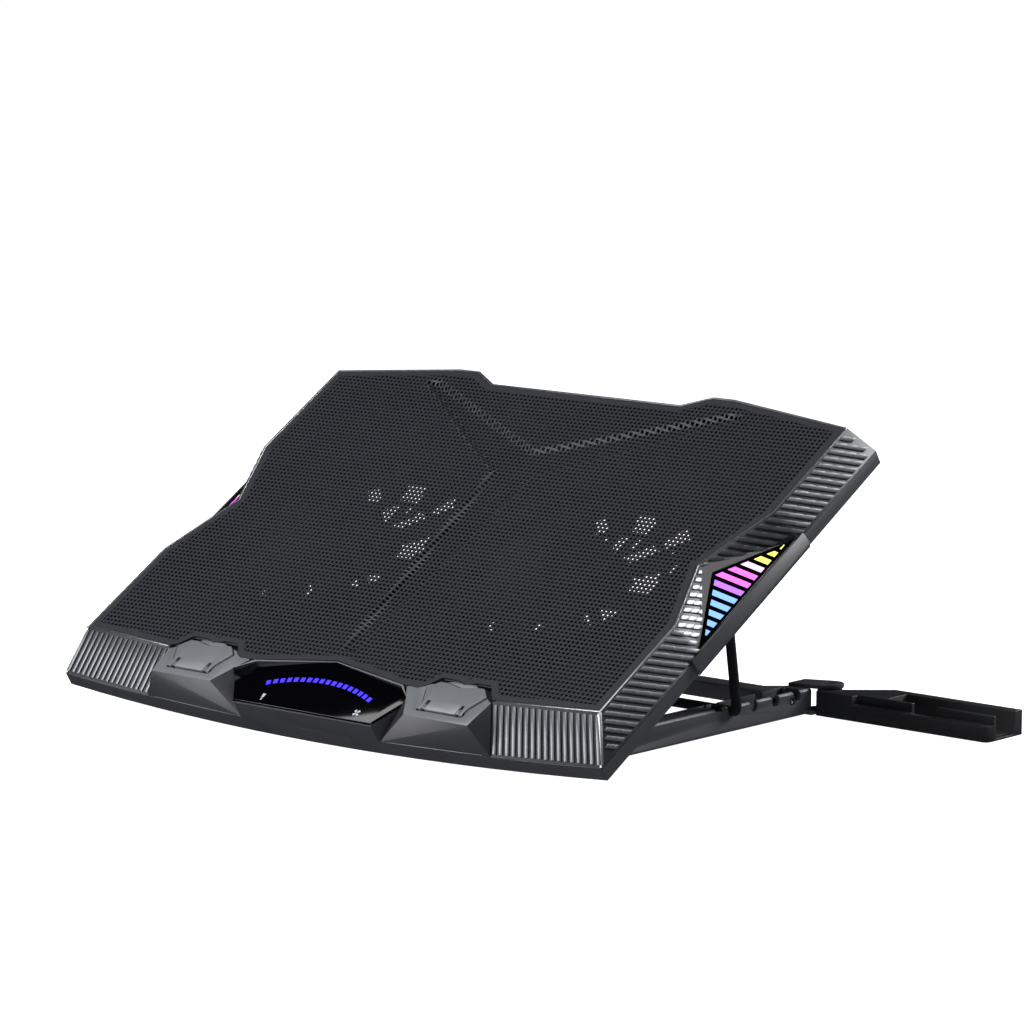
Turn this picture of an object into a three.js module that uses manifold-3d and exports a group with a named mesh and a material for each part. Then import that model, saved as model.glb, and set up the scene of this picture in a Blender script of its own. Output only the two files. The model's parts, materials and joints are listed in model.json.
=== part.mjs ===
// Laptop cooling pad: a tilting fan deck on an open base frame, held up by a wire prop,
// with two flip-up laptop stops and a phone arm that swings out at the right rear corner.
// Millimetres, +Z up, front edge towards -Y. The origin is the middle of the rubber strip
// under the front cross member, on the table and straight below the deck's hinge axis.

import * as THREE from 'three';
import { mergeVertices } from 'three/addons/utils/BufferGeometryUtils.js';
import Module from 'manifold-3d';

const wasm = await Module();
wasm.setup();

// ---- driving dimensions -------------------------------------------------------------------

// clearances and walls
const seam = 0.3;                  // gap between neighbouring pieces
const wall = 2.4;
const pin_play = 0.12;             // round a pin in its hole
const lug_play = 0.15;
const screw_play = 0.2;
const beyond = 1;                  // how far a cutting tool runs past what it cuts

// deck: x across, v from front to rear along the mesh, h along the mesh's normal
const tilt_deg = 31.4;
const half_width = 205;            // of the rim
const rear_edge = 294.5;           // v of the rim's rear corners
const front_edge = 5.5;            // v of the rim at the middle of its bowed front
const front_bow = 10.8;            // how far the front corners stand back from that
const rim_top = -18.4;
const underside = -27;
const floor_top = underside + wall;

// mesh panel, with a border round it, a waist on each side and a saddle in the rear edge
const border = 1.6;
const side_slope = 9.6;            // plan width of the straight side slopes
const rear_slope = 6;
const mesh_corner_x = half_width - side_slope - border;
const mesh_front = 40.1;
const mesh_rear = rear_edge - rear_slope;
const waist_depth = 18.7;
const waist_x = mesh_corner_x - waist_depth;
const waist_behind_middle = 12.7;
const waist_v = (front_edge + rear_edge) / 2 + waist_behind_middle;
const waist_half = 50.2;           // from the waist to where the side runs straight
const shoulder_v = rear_edge + 7.2;
const shoulder_outer = 105.6;
const shoulder_inner = 90.4;
const saddle_x = 72.4;
const saddle_v = rear_edge - 2.8;
const rim_behind_mesh = 3.3;
const mesh_thickness = 1.2;
const ledge = 5;
const band_depth = 2;
const band_slope = 3;

// fans
const fan_x = 88;
const fan_v = waist_v - 2.7;
const fan_radius = 70;
const fan_blades = 9;
const fan_top = -7;
const fan_floor = floor_top + seam;
const ring_wall = 2.6;
const spokes = 4;
const spoke_half = 2;
const hub_radius = 21;
const cup_radius = 19;
const cup_height = 2.6;
const axle_radius = 1.5;
const blade_half_width = 11;
const blade_rise = 5;
const blade_thickness = 1.5;
const tip_clearance = 2.9;
const grille_inner = hub_radius + 6;
const grille_outer = fan_radius - 4;
const grille_middle = (grille_inner + grille_outer) / 2 + 0.25;
const grille_bar = 3.5;
const grille_slots = 8;

// front trim: pods and control panel between the ribbed corner slopes
const trim_half_top = 123;
const trim_half_bottom = 131.2;
const trim_mesh_line = 32;
const trim_strip = 3;
const pod_x = 96;
const pod_front = 12.5;
const pod_notch = 35.2;            // where the mesh's front border meets the pods
const panel_front_drop = 4.5;
const panel_peak = 43;
const panel_thickness = 1.8;
const arc_radius = 118;            // of the level lights
const arc_centre_v = 28.5 - arc_radius;
const arc_half_angle = 0.4;

// flip-up stops
const stop_thickness = 2.6;
const stop_proud = 0.8;
const stop_gap = 0.9;
const stop_axis_v = 20.4;
const stop_axis_h = stop_proud - stop_thickness / 2;
const stop_pin_radius = 1;
const stop_pin_half = 15.3;
const stop_lug_x = 12.4;
const stop_lug_half = 0.9;
const stop_slot_half = 1.3;
const stop_trough = 3;

// screws that hold the deck's shells together
const screw_radius = 1.4;
const screw_head_radius = 2.7;
const boss_radius = 3.6;
const boss_split = -13;
const screw_x = half_width - 16;
const shoulder_screw_x = (shoulder_inner + shoulder_outer) / 2;
const screw_points = [
  [screw_x, mesh_front + 21.9], [screw_x, mesh_rear - 32.5],
  [shoulder_screw_x, shoulder_v - 5.2],
  [-screw_x, mesh_front + 21.9], [-screw_x, mesh_rear - 32.5],
  [-shoulder_screw_x, shoulder_v - 5.2],
];

// side lights: a dark triangular window in the flat middle facet of each waist
const window_outer_x = half_width - 2;
const window_inner_x = waist_x + 8.9;
const window_half = waist_half - 2;
const lens_thickness = 1.2;
const board_thickness = 1.4;
const facet_fall = -rim_top / (half_width - waist_x - border);
const side_trim_front = waist_v - 58.7;
const side_trim_rear = waist_v + 54.3;

// sockets look out of the rear edge, on the left
const socket_width = 14.4;
const socket_height = 6.6;
const socket_depth = 15;
const socket_points = [-52, -30];
const socket_h = -11;
const socket_face = saddle_v + 2.4;
const socket_wall = 0.9;

// base frame
const rail_outer = 155;
const rail_width = 15;
const rail_inner = rail_outer - rail_width;
const rail_height = 15.2;
const rail_chamfer = 1.2;
const rail_rear = 219.5;           // clear of the arm when it is stowed
const rail_wall = 2.6;
const ground_gap = 0.8;            // what the rubber feet lift the frame by
const notch_first = 146.4;
const notch_pitch = 19.9;
const notch_count = 4;
const channel_front = 132;
const channel_floor = 3.4;
const crossbar_front_y = 195;
const crossbar_depth = 14;
const crossbar_bottom = 5.5;
const crossbar_drop = 0.4;
const crossbar_end = rail_inner - seam;
const front_bar_front = -6;
const front_bar_rear = 24;
const front_bar_top = 8;
const strip_half_x = 60;
const strip_half_y = 4;
const foot_half_x = 4.5;
const foot_half_y = 16;
const foot_sink = 1;
const foot_play = 0.1;
const bar_screw_radius = 1.5;
const bar_screw_head = 2.8;
const front_screw_y = 18;          // behind the slot that the deck's lug turns in
const bar_screws = [[crossbar_front_y + 7, 10.2], [front_screw_y, 4.6]];

// deck hinge on the base, and where it lies in deck coordinates
const hinge_y = 0;
const hinge_z = 8.5;
const hinge_v = 36.3;
const hinge_drop = 9.5;            // from the deck's underside to the axis
const hinge_h = underside - hinge_drop;
const rail_nose = hinge_drop - 1.2;
const hinge_pin_radius = 2;
const lug_x = rail_outer - rail_width / 2;
const lug_thickness = 5.4;
const lug_radius = 6;
const lug_foot_front = 8;
const lug_foot_rear = 14;

// prop: a bent wire whose foot lies in the rails' notches, and the recess its legs fold into
const wire_radius = 2.9;
const prop_length = 86;
const prop_lean_deg = 9;
const prop_foot_z = 12.4;
const prop_clearance = 0.6;
const leg_x = rail_outer + prop_clearance + wire_radius;
const notch_half = wire_radius + 0.35;
const recess_half_width = wire_radius + 1.1;
const recess_wall = 1.6;

// phone arm
const arm_pivot = [160, 230.2];
const arm_front = 216.7;
const arm_rear = 250.4;
const arm_end = half_width + 75.5;
const arm_bottom = 0.3;
const arm_height = 14.6;
const arm_ledge_top = 9.4;
const arm_pin_radius = 2.2;
const arm_corner = 3.5;
const knuckle_radius = 7.2;
const ear_thickness = 2.3;
const ear_radius = knuckle_radius + 1;
const ear_bottom = arm_height + 0.4;
const trough_x = half_width;
const trough_floor = 1.5;
const ridge_front = arm_front + 6;
const ridge_back = arm_front + 8.6;
const back_wall = arm_rear - 5;
const cable_gap_x = [trough_x + 19, trough_x + 36];
const lower_clear = ground_gap + ear_thickness + seam;

// ---- helpers ------------------------------------------------------------------------------

// a solid that manifold can join and cut, from any closed three.js geometry
function solid(geometry) {
  const bare = geometry.clone();
  bare.deleteAttribute('normal');
  bare.deleteAttribute('uv');
  const merged = mergeVertices(bare, 1e-4);
  return new wasm.Manifold(new wasm.Mesh({
    numProp: 3,
    vertProperties: Float32Array.from(merged.attributes.position.array),
    triVerts: Uint32Array.from(merged.index.array),
  }));
}

function geometry_of(manifold) {
  const mesh = manifold.getMesh();
  const geometry = new THREE.BufferGeometry();
  geometry.setAttribute('position', new THREE.BufferAttribute(mesh.vertProperties, 3));
  geometry.setIndex(new THREE.BufferAttribute(mesh.triVerts, 1));
  return geometry;
}

function join(...parts) {
  return parts.reduce((whole, part) => whole.add(part));
}

function cut(whole, ...tools) {
  return tools.reduce((left, tool) => left.subtract(tool), whole);
}

// an upright prism on a plan outline
function prism(points, bottom, top, holes = []) {
  const shape = new THREE.Shape(points.map(([x, y]) => new THREE.Vector2(x, y)));
  for (const hole of holes) {
    shape.holes.push(new THREE.Path(hole.map(([x, y]) => new THREE.Vector2(x, y))));
  }
  const geometry = new THREE.ExtrudeGeometry(shape, { depth: top - bottom, bevelEnabled: false });
  return solid(geometry.translate(0, 0, bottom));
}

// a bar along x whose end shape is given as (y, z) points
function bar_x(points, x_low, x_high) {
  const shape = new THREE.Shape(points.map(([y, z]) => new THREE.Vector2(y, z)));
  const geometry = new THREE.ExtrudeGeometry(shape, { depth: x_high - x_low, bevelEnabled: false });
  const turn = new THREE.Matrix4().set(0, 0, 1, x_low, 1, 0, 0, 0, 0, 1, 0, 0, 0, 0, 0, 1);
  return solid(geometry.applyMatrix4(turn));
}

// a bar along y whose end shape is given as (x, z) points
function bar_y(points, y_low, y_high) {
  const shape = new THREE.Shape(points.map(([x, z]) => new THREE.Vector2(x, z)));
  const geometry = new THREE.ExtrudeGeometry(shape, { depth: y_high - y_low, bevelEnabled: false });
  const turn = new THREE.Matrix4().set(1, 0, 0, 0, 0, 0, -1, y_high, 0, 1, 0, 0, 0, 0, 0, 1);
  return solid(geometry.applyMatrix4(turn));
}

function box(x, y, z) {
  return prism([[x[0], y[0]], [x[1], y[0]], [x[1], y[1]], [x[0], y[1]]], z[0], z[1]);
}

function disc(x, y, radius, bottom, top, sides = 24) {
  const geometry = new THREE.CylinderGeometry(radius, radius, top - bottom, sides);
  return solid(geometry.rotateX(Math.PI / 2).translate(x, y, (top + bottom) / 2));
}

function rod_x(y, z, radius, x_low, x_high, sides = 16) {
  const geometry = new THREE.CylinderGeometry(radius, radius, x_high - x_low, sides);
  return solid(geometry.rotateZ(Math.PI / 2).translate((x_low + x_high) / 2, y, z));
}

const distance = (a, b) => new THREE.Vector3(...a).distanceTo(new THREE.Vector3(...b));

// a closed skin over a stack of rings that have the same number of points; each four-sided
// stretch folds along its longer diagonal, which leaves a flat facet in the deck's waist
function loft(rings) {
  const count = rings[0].length;
  const positions = rings.flat(2);
  const index = [];
  for (let level = 0; level < rings.length - 1; level++) {
    for (let i = 0; i < count; i++) {
      const a = level * count + i;
      const b = level * count + (i + 1) % count;
      const next = rings[level + 1];
      const rising = distance(rings[level][i], next[(i + 1) % count]);
      const falling = distance(rings[level][(i + 1) % count], next[i]);
      if (rising > falling) index.push(a, b, b + count, a, b + count, a + count);
      else index.push(a, b, a + count, b, b + count, a + count);
    }
  }
  const cap = (ring) => THREE.ShapeUtils.triangulateShape(
    ring.map(([x, y]) => new THREE.Vector2(x, y)), []);
  for (const [a, b, c] of cap(rings[0])) index.push(a, c, b);
  const last = (rings.length - 1) * count;
  for (const [a, b, c] of cap(rings[rings.length - 1])) index.push(last + a, last + b, last + c);
  const geometry = new THREE.BufferGeometry();
  geometry.setAttribute('position', new THREE.Float32BufferAttribute(positions, 3));
  geometry.setIndex(index);
  return solid(geometry);
}

const at_height = (points, z) => points.map(([x, y]) => [x, y, z]);

// the right half of a symmetric outline, front to rear, becomes the whole outline
function mirrored(half) {
  const left = half.filter(([x]) => x > 0).map(([x, ...rest]) => [-x, ...rest]).reverse();
  return [...half, ...left];
}

// a counter-clockwise outline moved inwards by a distance
function inset(points, distance) {
  return points.map((point, i) => {
    const before = points[(i + points.length - 1) % points.length];
    const after = points[(i + 1) % points.length];
    const a = Math.atan2(point[1] - before[1], point[0] - before[0]);
    const b = Math.atan2(after[1] - point[1], after[0] - point[0]);
    const half_turn = Math.atan2(Math.sin(b - a), Math.cos(b - a)) / 2;
    const reach = distance / Math.cos(half_turn);
    const way = a + half_turn + Math.PI / 2;
    return [point[0] + reach * Math.cos(way), point[1] + reach * Math.sin(way)];
  });
}

// the same solid on the other side of the x = 0 plane
function flip_x(manifold) {
  const geometry = geometry_of(manifold);
  geometry.scale(-1, 1, 1);
  const index = geometry.index.array;
  for (let i = 0; i < index.length; i += 3) {
    [index[i], index[i + 1]] = [index[i + 1], index[i]];
  }
  return solid(geometry);
}

function moved(manifold, x, y, z) {
  return solid(geometry_of(manifold).translate(x, y, z));
}

// ---- materials ----------------------------------------------------------------------------

const finish = (color, roughness, metalness) =>
  new THREE.MeshStandardMaterial({ color, roughness, metalness });

const black_plastic = () => finish(0x1b1c20, 0.55, 0);
const grey_plastic = () => finish(0x3c3e44, 0.45, 0);
const metal_paint = () => finish(0x8d9096, 0.35, 0.6);
const black_steel = () => finish(0x141417, 0.5, 0.3);
const bright_steel = () => finish(0x9a9ca0, 0.3, 1);
const gloss_black = () => finish(0x050508, 0.08, 0);
const rubber = () => finish(0x101012, 0.9, 0);
const circuit_green = () => finish(0x1d4a2c, 0.6, 0);
const clear_plastic = () => finish(0xd8dce4, 0.3, 0);

const cooling_pad = new THREE.Group();
const deck = new THREE.Group();
deck.position.set(0, hinge_y, hinge_z);
deck.rotation.x = THREE.MathUtils.degToRad(tilt_deg);
const deck_plane = new THREE.Group();
deck_plane.position.set(0, -hinge_v, -hinge_h);
deck.add(deck_plane);
cooling_pad.add(deck);

function add(parent, name, manifold, material) {
  const mesh = new THREE.Mesh(geometry_of(manifold), material());
  mesh.name = name;
  parent.add(mesh);
}

const sides = [['left', -1], ['right', 1]];
const on_side = (side, manifold) => (side > 0 ? manifold : flip_x(manifold));

// ---- outlines of the deck -----------------------------------------------------------------

const front_at = (x) => front_edge + front_bow * (x / half_width) ** 2;

// the bowed front of the rim, from the left to the right, moved back by a distance
function front_curve(reach, back, steps = 16) {
  const points = [];
  for (let i = 0; i <= steps; i++) {
    const x = reach * (2 * i / steps - 1);
    points.push([x, front_at(x) + back]);
  }
  return points;
}

// the rim's outline, moved inwards: the front by one distance and the rest by another
function rim_outline(inwards, front_inwards = inwards) {
  const x = half_width - inwards;
  const rear = [
    [x, rear_edge - inwards], [shoulder_outer + 1.4, shoulder_v + rim_behind_mesh - inwards],
    [shoulder_inner - 0.9 + inwards / 2, shoulder_v + rim_behind_mesh - inwards],
    [saddle_x - 1.4 + inwards / 2, saddle_v + rim_behind_mesh - inwards],
  ];
  const other = rear.map(([px, py]) => [-px, py]).reverse();
  return [...front_curve(x, front_inwards), ...rear, ...other];
}

const mesh_outline = mirrored([
  [0, panel_peak + border], [57.5, pod_notch - 0.4], [68, pod_notch - 0.6], [72.5, 37.2],
  [pod_x - 17.5, 45], [pod_x - 8, 45], [pod_x, 42.6], [pod_x + 8, 45], [pod_x + 17.5, 45],
  [119.5, 37.2], [125, 34.8], [mesh_corner_x, mesh_front],
  [mesh_corner_x, waist_v - waist_half], [waist_x, waist_v],
  [mesh_corner_x, waist_v + waist_half], [mesh_corner_x, mesh_rear],
  [shoulder_outer, shoulder_v], [shoulder_inner, shoulder_v], [saddle_x, saddle_v],
]);

// plan of the moulded front trim: pods and control panel, between the ribbed corner slopes
const trim_plan = [
  [-trim_half_bottom - 2.9, 0], [trim_half_bottom + 2.9, 0], [trim_half_top, trim_mesh_line],
  [trim_half_top, 60], [-trim_half_top, 60], [-trim_half_top, trim_mesh_line],
];

// ---- deck shells --------------------------------------------------------------------------

// the plan line between trim and slopes leans out towards the front
const grown_trim_plan = inset(trim_plan, -seam);

// the solid hill under the side and rear slopes, from the rim up to the mesh border
function hill(drop) {
  const top = [
    [trim_half_top, 33.2], [mesh_corner_x + border, mesh_front - border],
    [mesh_corner_x + border, waist_v - waist_half], [waist_x + border, waist_v],
    [mesh_corner_x + border, waist_v + waist_half], [mesh_corner_x + border, mesh_rear + 1],
    [shoulder_outer + 0.3, shoulder_v + border], [shoulder_inner - 0.5, shoulder_v + border],
    [saddle_x - 0.6, saddle_v + border],
  ];
  const foot = [
    [trim_half_bottom, front_at(trim_half_bottom)], [half_width, front_at(half_width)],
    [half_width, waist_v - waist_half], [half_width, waist_v],
    [half_width, waist_v + waist_half], [half_width, rear_edge],
    [shoulder_outer + 1.4, shoulder_v + rim_behind_mesh],
    [shoulder_inner - 0.9, shoulder_v + rim_behind_mesh],
    [saddle_x - 1.4, saddle_v + rim_behind_mesh],
  ];
  return loft([at_height(mirrored(foot), rim_top - drop), at_height(mirrored(top), -drop)]);
}

const opening = inset(mesh_outline, ledge);
const mesh_recess = inset(mesh_outline, -seam / 2);

const window_plan = [
  [window_outer_x, waist_v - window_half], [window_outer_x, waist_v + window_half],
  [window_inner_x, waist_v],
];

function light_window(grow, above, below) {
  const shape = inset(window_plan, -grow);
  const height = ([x]) => -facet_fall * (x - waist_x - border);
  const ring = (offset) => shape.map((point) => [...point, height(point) + offset]);
  return loft([ring(below), ring(above)]);
}

function socket_hole(x) {
  return box([x - socket_width / 2 - seam, x + socket_width / 2 + seam],
    [socket_face - socket_depth - seam, saddle_v + 12],
    [socket_h - socket_height / 2 - seam, socket_h + socket_height / 2 + seam]);
}

function build_upper_frame() {
  const room = hill(wall + 0.6).intersect(prism(rim_outline(3, 6), rim_top - 9, 0));
  let frame = cut(hill(0), room,
    prism(opening, -30, 5), prism(mesh_recess, -mesh_thickness - seam, 5),
    prism(grown_trim_plan, -30, 5));
  for (const [x, v] of screw_points) {
    frame = frame.add(disc(x, v, boss_radius, boss_split + seam / 2, -wall));
    frame = frame.subtract(disc(x, v, screw_radius + screw_play, boss_split - beyond, -5));
  }
  for (const [, side] of sides) {
    frame = frame.subtract(on_side(side, light_window(seam, 8, -6)));
  }
  for (const x of socket_points) frame = frame.subtract(socket_hole(x));
  return frame;
}

// one ring of curved slots around a fan
function grille(side) {
  const slots = [];
  const rows = [
    [grille_inner, grille_middle - grille_bar / 2], [grille_middle + grille_bar / 2, grille_outer],
  ];
  const arc_steps = 3;
  for (const [row, [inner, outer]] of rows.entries()) {
    for (let i = 0; i < grille_slots; i++) {
      const start = (2 * Math.PI / grille_slots) * (i + row / 2);
      const sweep = 2 * Math.PI / grille_slots - 3.2 / inner;
      const arc = (radius, forwards) => {
        const points = [];
        for (let k = 0; k <= arc_steps; k++) {
          const angle = start + sweep * (forwards ? k : arc_steps - k) / arc_steps;
          points.push([side * fan_x + radius * Math.cos(angle), fan_v + radius * Math.sin(angle)]);
        }
        return points;
      };
      slots.push(prism([...arc(outer, true), ...arc(inner, false)], underside - 1, floor_top + 1));
    }
  }
  return slots;
}

// the recess that the prop's leg swings through, seen from the side: v, and how high the
// wire's middle comes above the underside there
const wire_path = [
  [195, -1.3], [208, 2], [222, 5], [238, 7.3], [254, 8.3], [270, 7.8], [275, 6.1],
];
const recess_profile = [
  [188, 0], ...wire_path.map(([v, rise]) => [v, rise + wire_radius]), [275, 0],
];

function recess(grow, extra) {
  const profile = recess_profile.map(([v, rise]) => [v, underside + rise]);
  const bigger = inset([...profile].reverse(), -grow);
  const low = bigger.map(([v, h]) => [v, h < underside + 0.5 ? underside - extra : h]);
  return bar_x(low, leg_x - recess_half_width - grow, leg_x + recess_half_width + grow);
}

function hinge_lug() {
  const profile = [];
  for (let i = 0; i <= 8; i++) {
    const angle = Math.PI + Math.PI * i / 8;
    profile.push([hinge_v + lug_radius * Math.cos(angle), hinge_h + lug_radius * Math.sin(angle)]);
  }
  profile.push([hinge_v + lug_foot_rear, floor_top], [hinge_v - lug_foot_front, floor_top]);
  return bar_x(profile, lug_x - lug_thickness / 2, lug_x + lug_thickness / 2);
}

function build_lower_shell() {
  const outer = prism(rim_outline(0), underside, rim_top - seam);
  const room = prism(rim_outline(wall + 0.3, trim_strip + seam + wall), floor_top, 0);
  const strip_room = prism([...front_curve(half_width - 0.6, trim_strip + seam).reverse(),
    [-half_width + 0.6, -20], [half_width - 0.6, -20]], underside - 1, 0);
  let shell = cut(outer, room, strip_room);
  for (const [x, v] of screw_points) {
    shell = shell.add(disc(x, v, boss_radius, underside, boss_split - seam / 2));
  }
  for (const [, side] of sides) {
    const lug = hinge_lug();
    const pin_hole = rod_x(hinge_v, hinge_h, hinge_pin_radius + lug_play, lug_x - 10, lug_x + 10);
    const inside = box([0, half_width], [0, rear_edge], [underside, 0]);
    const pocket_walls = recess(recess_wall, 0).intersect(inside);
    shell = join(shell, on_side(side, pocket_walls), on_side(side, lug));
    shell = cut(shell, on_side(side, recess(0, 2)), on_side(side, pin_hole), ...grille(side));
  }
  for (const [x, v] of screw_points) {
    shell = cut(shell, disc(x, v, screw_radius + screw_play, underside - beyond, 0),
      disc(x, v, screw_head_radius + screw_play, underside - beyond, underside + 2));
  }
  for (const x of socket_points) shell = shell.subtract(socket_hole(x));
  return shell;
}

add(deck_plane, 'upper_frame', build_upper_frame(), black_plastic);
add(deck_plane, 'lower_shell', build_lower_shell(), grey_plastic);

for (const [i, [x, v]] of screw_points.entries()) {
  const head = disc(x, v, screw_head_radius, underside + 0.2, underside + 1.8, 12);
  const shaft = disc(x, v, screw_radius, underside + 1.6, -6, 10);
  add(deck_plane, `shell_screw_${i + 1}`, join(head, shaft), bright_steel);
}

// ---- front trim with its pods and control panel -------------------------------------------

const panel_outline = mirrored([
  [0, panel_peak], [56, 33.3], [66, 25.5], [52.3, front_edge + 0.4],
]);
const panel_slope = panel_front_drop / (panel_peak - front_edge);
const panel_height = (v) => -panel_slope * (panel_peak - v);

function panel_solid(grow, above, below) {
  const loop = inset(ccw(panel_outline), -grow);
  const ring = (offset) => loop.map(([x, v]) => [x, v, panel_height(v) + offset]);
  return loft([ring(below), ring(above)]);
}

function ccw(points) {
  return THREE.ShapeUtils.isClockWise(points.map(([x, y]) => new THREE.Vector2(x, y)))
    ? [...points].reverse() : points;
}

// one pod: a flat top whose front and sides slope down to the rim
function pod() {
  const foot_level = rim_top;
  const foot = [
    [52.5, front_at(52.5)], [trim_half_bottom, front_at(trim_half_bottom)],
    [trim_half_top, trim_mesh_line], [pod_x + 8, 43.2], [pod_x - 8, 43.2], [60, 34], [64, 26],
  ];
  const top = [
    [74, pod_front], [120.4, pod_front],
    [trim_half_top, trim_mesh_line], [pod_x + 8, 43.2], [pod_x - 8, 43.2], [60, 34], [66, 25.5],
  ];
  return loft([at_height(foot, foot_level), at_height(top, 0)]);
}

const stop_outline = mirrored([
  [0, 38.7], [10.5, 41], [16, 41], [21.7, 35], [16, 24], [16, 18.6],
]);

function build_front_trim() {
  const bottom = underside + 0.02;
  const strip_plan = (reach) => [...front_curve(reach, 0),
    ...front_curve(reach, trim_strip).reverse()];
  const strip = join(prism(strip_plan(half_width - 1), bottom, rim_top - seam),
    prism(strip_plan(trim_half_bottom - 6), bottom, rim_top + 0.6));
  const middle_foot = mirrored([[0, panel_peak + 0.9], [57, 34.6], [66, 26], [52.5, front_edge + 0.1]]);
  const middle = loft([
    at_height(ccw(middle_foot), rim_top),
    ccw(middle_foot).map(([x, v]) => [x, v, v < 20 ? -panel_front_drop : 0]),
  ]);
  const kept = prism(trim_plan, -30, 5);
  const right_pod = pod().intersect(kept);
  let trim = join(strip, middle, right_pod, flip_x(right_pod));
  const hollow = prism(ccw([[-118, 15], [118, 15], [118, 30], [100, 41], [92, 41], [62, 31], [0, 40],
    [-62, 31], [-92, 41], [-100, 41], [-118, 30]]), underside - 1, -9.5);
  trim = cut(trim, hollow, panel_solid(seam, 10, -panel_thickness - seam),
    panel_solid(-4, 2, -14));
  const mesh_ledge = prism(ccw(mesh_outline), -4, -mesh_thickness - seam)
    .intersect(box([-trim_half_top + 0.3, trim_half_top - 0.3], [pod_notch - 4, 50], [-6, 0]));
  trim = trim.add(mesh_ledge).subtract(prism(mesh_recess, -mesh_thickness - seam, 5));
  for (const [, side] of sides) {
    const x = side * pod_x;
    const pocket = ccw(inset(ccw(stop_outline), -stop_gap).map(([px, py]) => [px + x, py]));
    const trough_front = stop_axis_v - stop_trough;
    const trough = box([x - 16.5, x + 16.5], [trough_front, stop_axis_v + stop_trough],
      [stop_axis_h - stop_trough, 3]);
    trim = cut(trim, prism(pocket, stop_proud - stop_thickness - seam, 3), trough);
    for (const end of [-1, 1]) {
      const lug_middle = x + end * stop_lug_x;
      const lug = box([lug_middle - stop_lug_half, lug_middle + stop_lug_half],
        [stop_axis_v - 1.8, stop_axis_v + 1.8], [stop_axis_h - stop_trough - 1, stop_proud]);
      trim = trim.add(lug);
    }
    trim = trim.subtract(rod_x(stop_axis_v, stop_axis_h, stop_pin_radius + pin_play,
      x - stop_pin_half - seam, x + stop_pin_half + seam));
  }
  return trim;
}

add(deck_plane, 'front_trim', build_front_trim(), metal_paint);
add(deck_plane, 'control_lens', panel_solid(0, 0, -panel_thickness), gloss_black);

// the arc of level lights under the lens, and the board that carries them
function arc_bar(inner, outer, bottom, top, steps = 12) {
  const points = [];
  for (let i = 0; i <= steps; i++) {
    const angle = Math.PI / 2 - arc_half_angle + 2 * arc_half_angle * i / steps;
    points.push([outer * Math.cos(angle), arc_centre_v + outer * Math.sin(angle)]);
  }
  for (let i = steps; i >= 0; i--) {
    const angle = Math.PI / 2 - arc_half_angle + 2 * arc_half_angle * i / steps;
    points.push([inner * Math.cos(angle), arc_centre_v + inner * Math.sin(angle)]);
  }
  return prism(points, bottom, top);
}

add(deck_plane, 'level_light_guide', arc_bar(arc_radius - 2, arc_radius + 2, -9, -6.4),
  clear_plastic);
add(deck_plane, 'control_board', box([-46, 46], [12, 31], [-11.4, -9.8]), circuit_green);

// ---- flip-up laptop stops -----------------------------------------------------------------

for (const [name, side] of sides) {
  const x = side * pod_x;
  const outline = ccw(stop_outline.map(([px, py]) => [px + x, py]));
  let stop = prism(outline, stop_proud - stop_thickness, stop_proud);
  for (const end of [-1, 1]) {
    const slot_middle = x + end * stop_lug_x;
    stop = stop.subtract(box([slot_middle - stop_slot_half, slot_middle + stop_slot_half],
      [10, 26], [-5, 5]));
  }
  stop = stop.subtract(rod_x(stop_axis_v, stop_axis_h, stop_pin_radius + pin_play, x - 20, x + 20));
  add(deck_plane, `${name}_stop`, stop, metal_paint);
  add(deck_plane, `${name}_stop_pin`,
    rod_x(stop_axis_v, stop_axis_h, stop_pin_radius, x - stop_pin_half, x + stop_pin_half, 12),
    bright_steel);
}

// ---- mesh panel with its sunk Y-shaped band -----------------------------------------------

const band_outline = mirrored([
  [5.4, 53], [16, 217], [50.7, 238.7], [124, 289], [113.5, 292], [37.7, 256.7], [0, 240.3],
]);

function build_mesh_panel() {
  const outer = ccw(band_outline);
  const inner = inset(outer, band_slope);
  const sunk = loft([at_height(inner, -band_depth), at_height(outer, 0.01)]);
  const plate = prism(ccw(inset(ccw(mesh_outline), seam / 2)), -mesh_thickness, 0);
  const lowered = loft([at_height(inset(outer, band_slope - 1), -band_depth - mesh_thickness),
    at_height(inset(outer, -1), -mesh_thickness + 0.4)]);
  return cut(join(plate, lowered), sunk);
}

add(deck_plane, 'mesh_panel', build_mesh_panel(), black_steel);

// ---- side lights and side trims -----------------------------------------------------------

for (const [name, side] of sides) {
  const lens = light_window(0, 0, -lens_thickness);
  const board_face = -lens_thickness - 2 * seam;
  const board = light_window(-3, board_face, board_face - board_thickness);
  const section = [
    [half_width + seam, underside + 1], [half_width + 2.4, underside + 1],
    [half_width + 3.4, underside + 3.6], [half_width + 1, rim_top + 2.4],
    [half_width + seam, rim_top + 2],
  ];
  const trim = bar_y(section, side_trim_front, side_trim_rear);
  add(deck_plane, `${name}_light_lens`, on_side(side, lens), gloss_black);
  add(deck_plane, `${name}_light_board`, on_side(side, board), circuit_green);
  add(deck_plane, `${name}_side_trim`, on_side(side, trim), grey_plastic);
}

// ---- fans ---------------------------------------------------------------------------------

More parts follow.
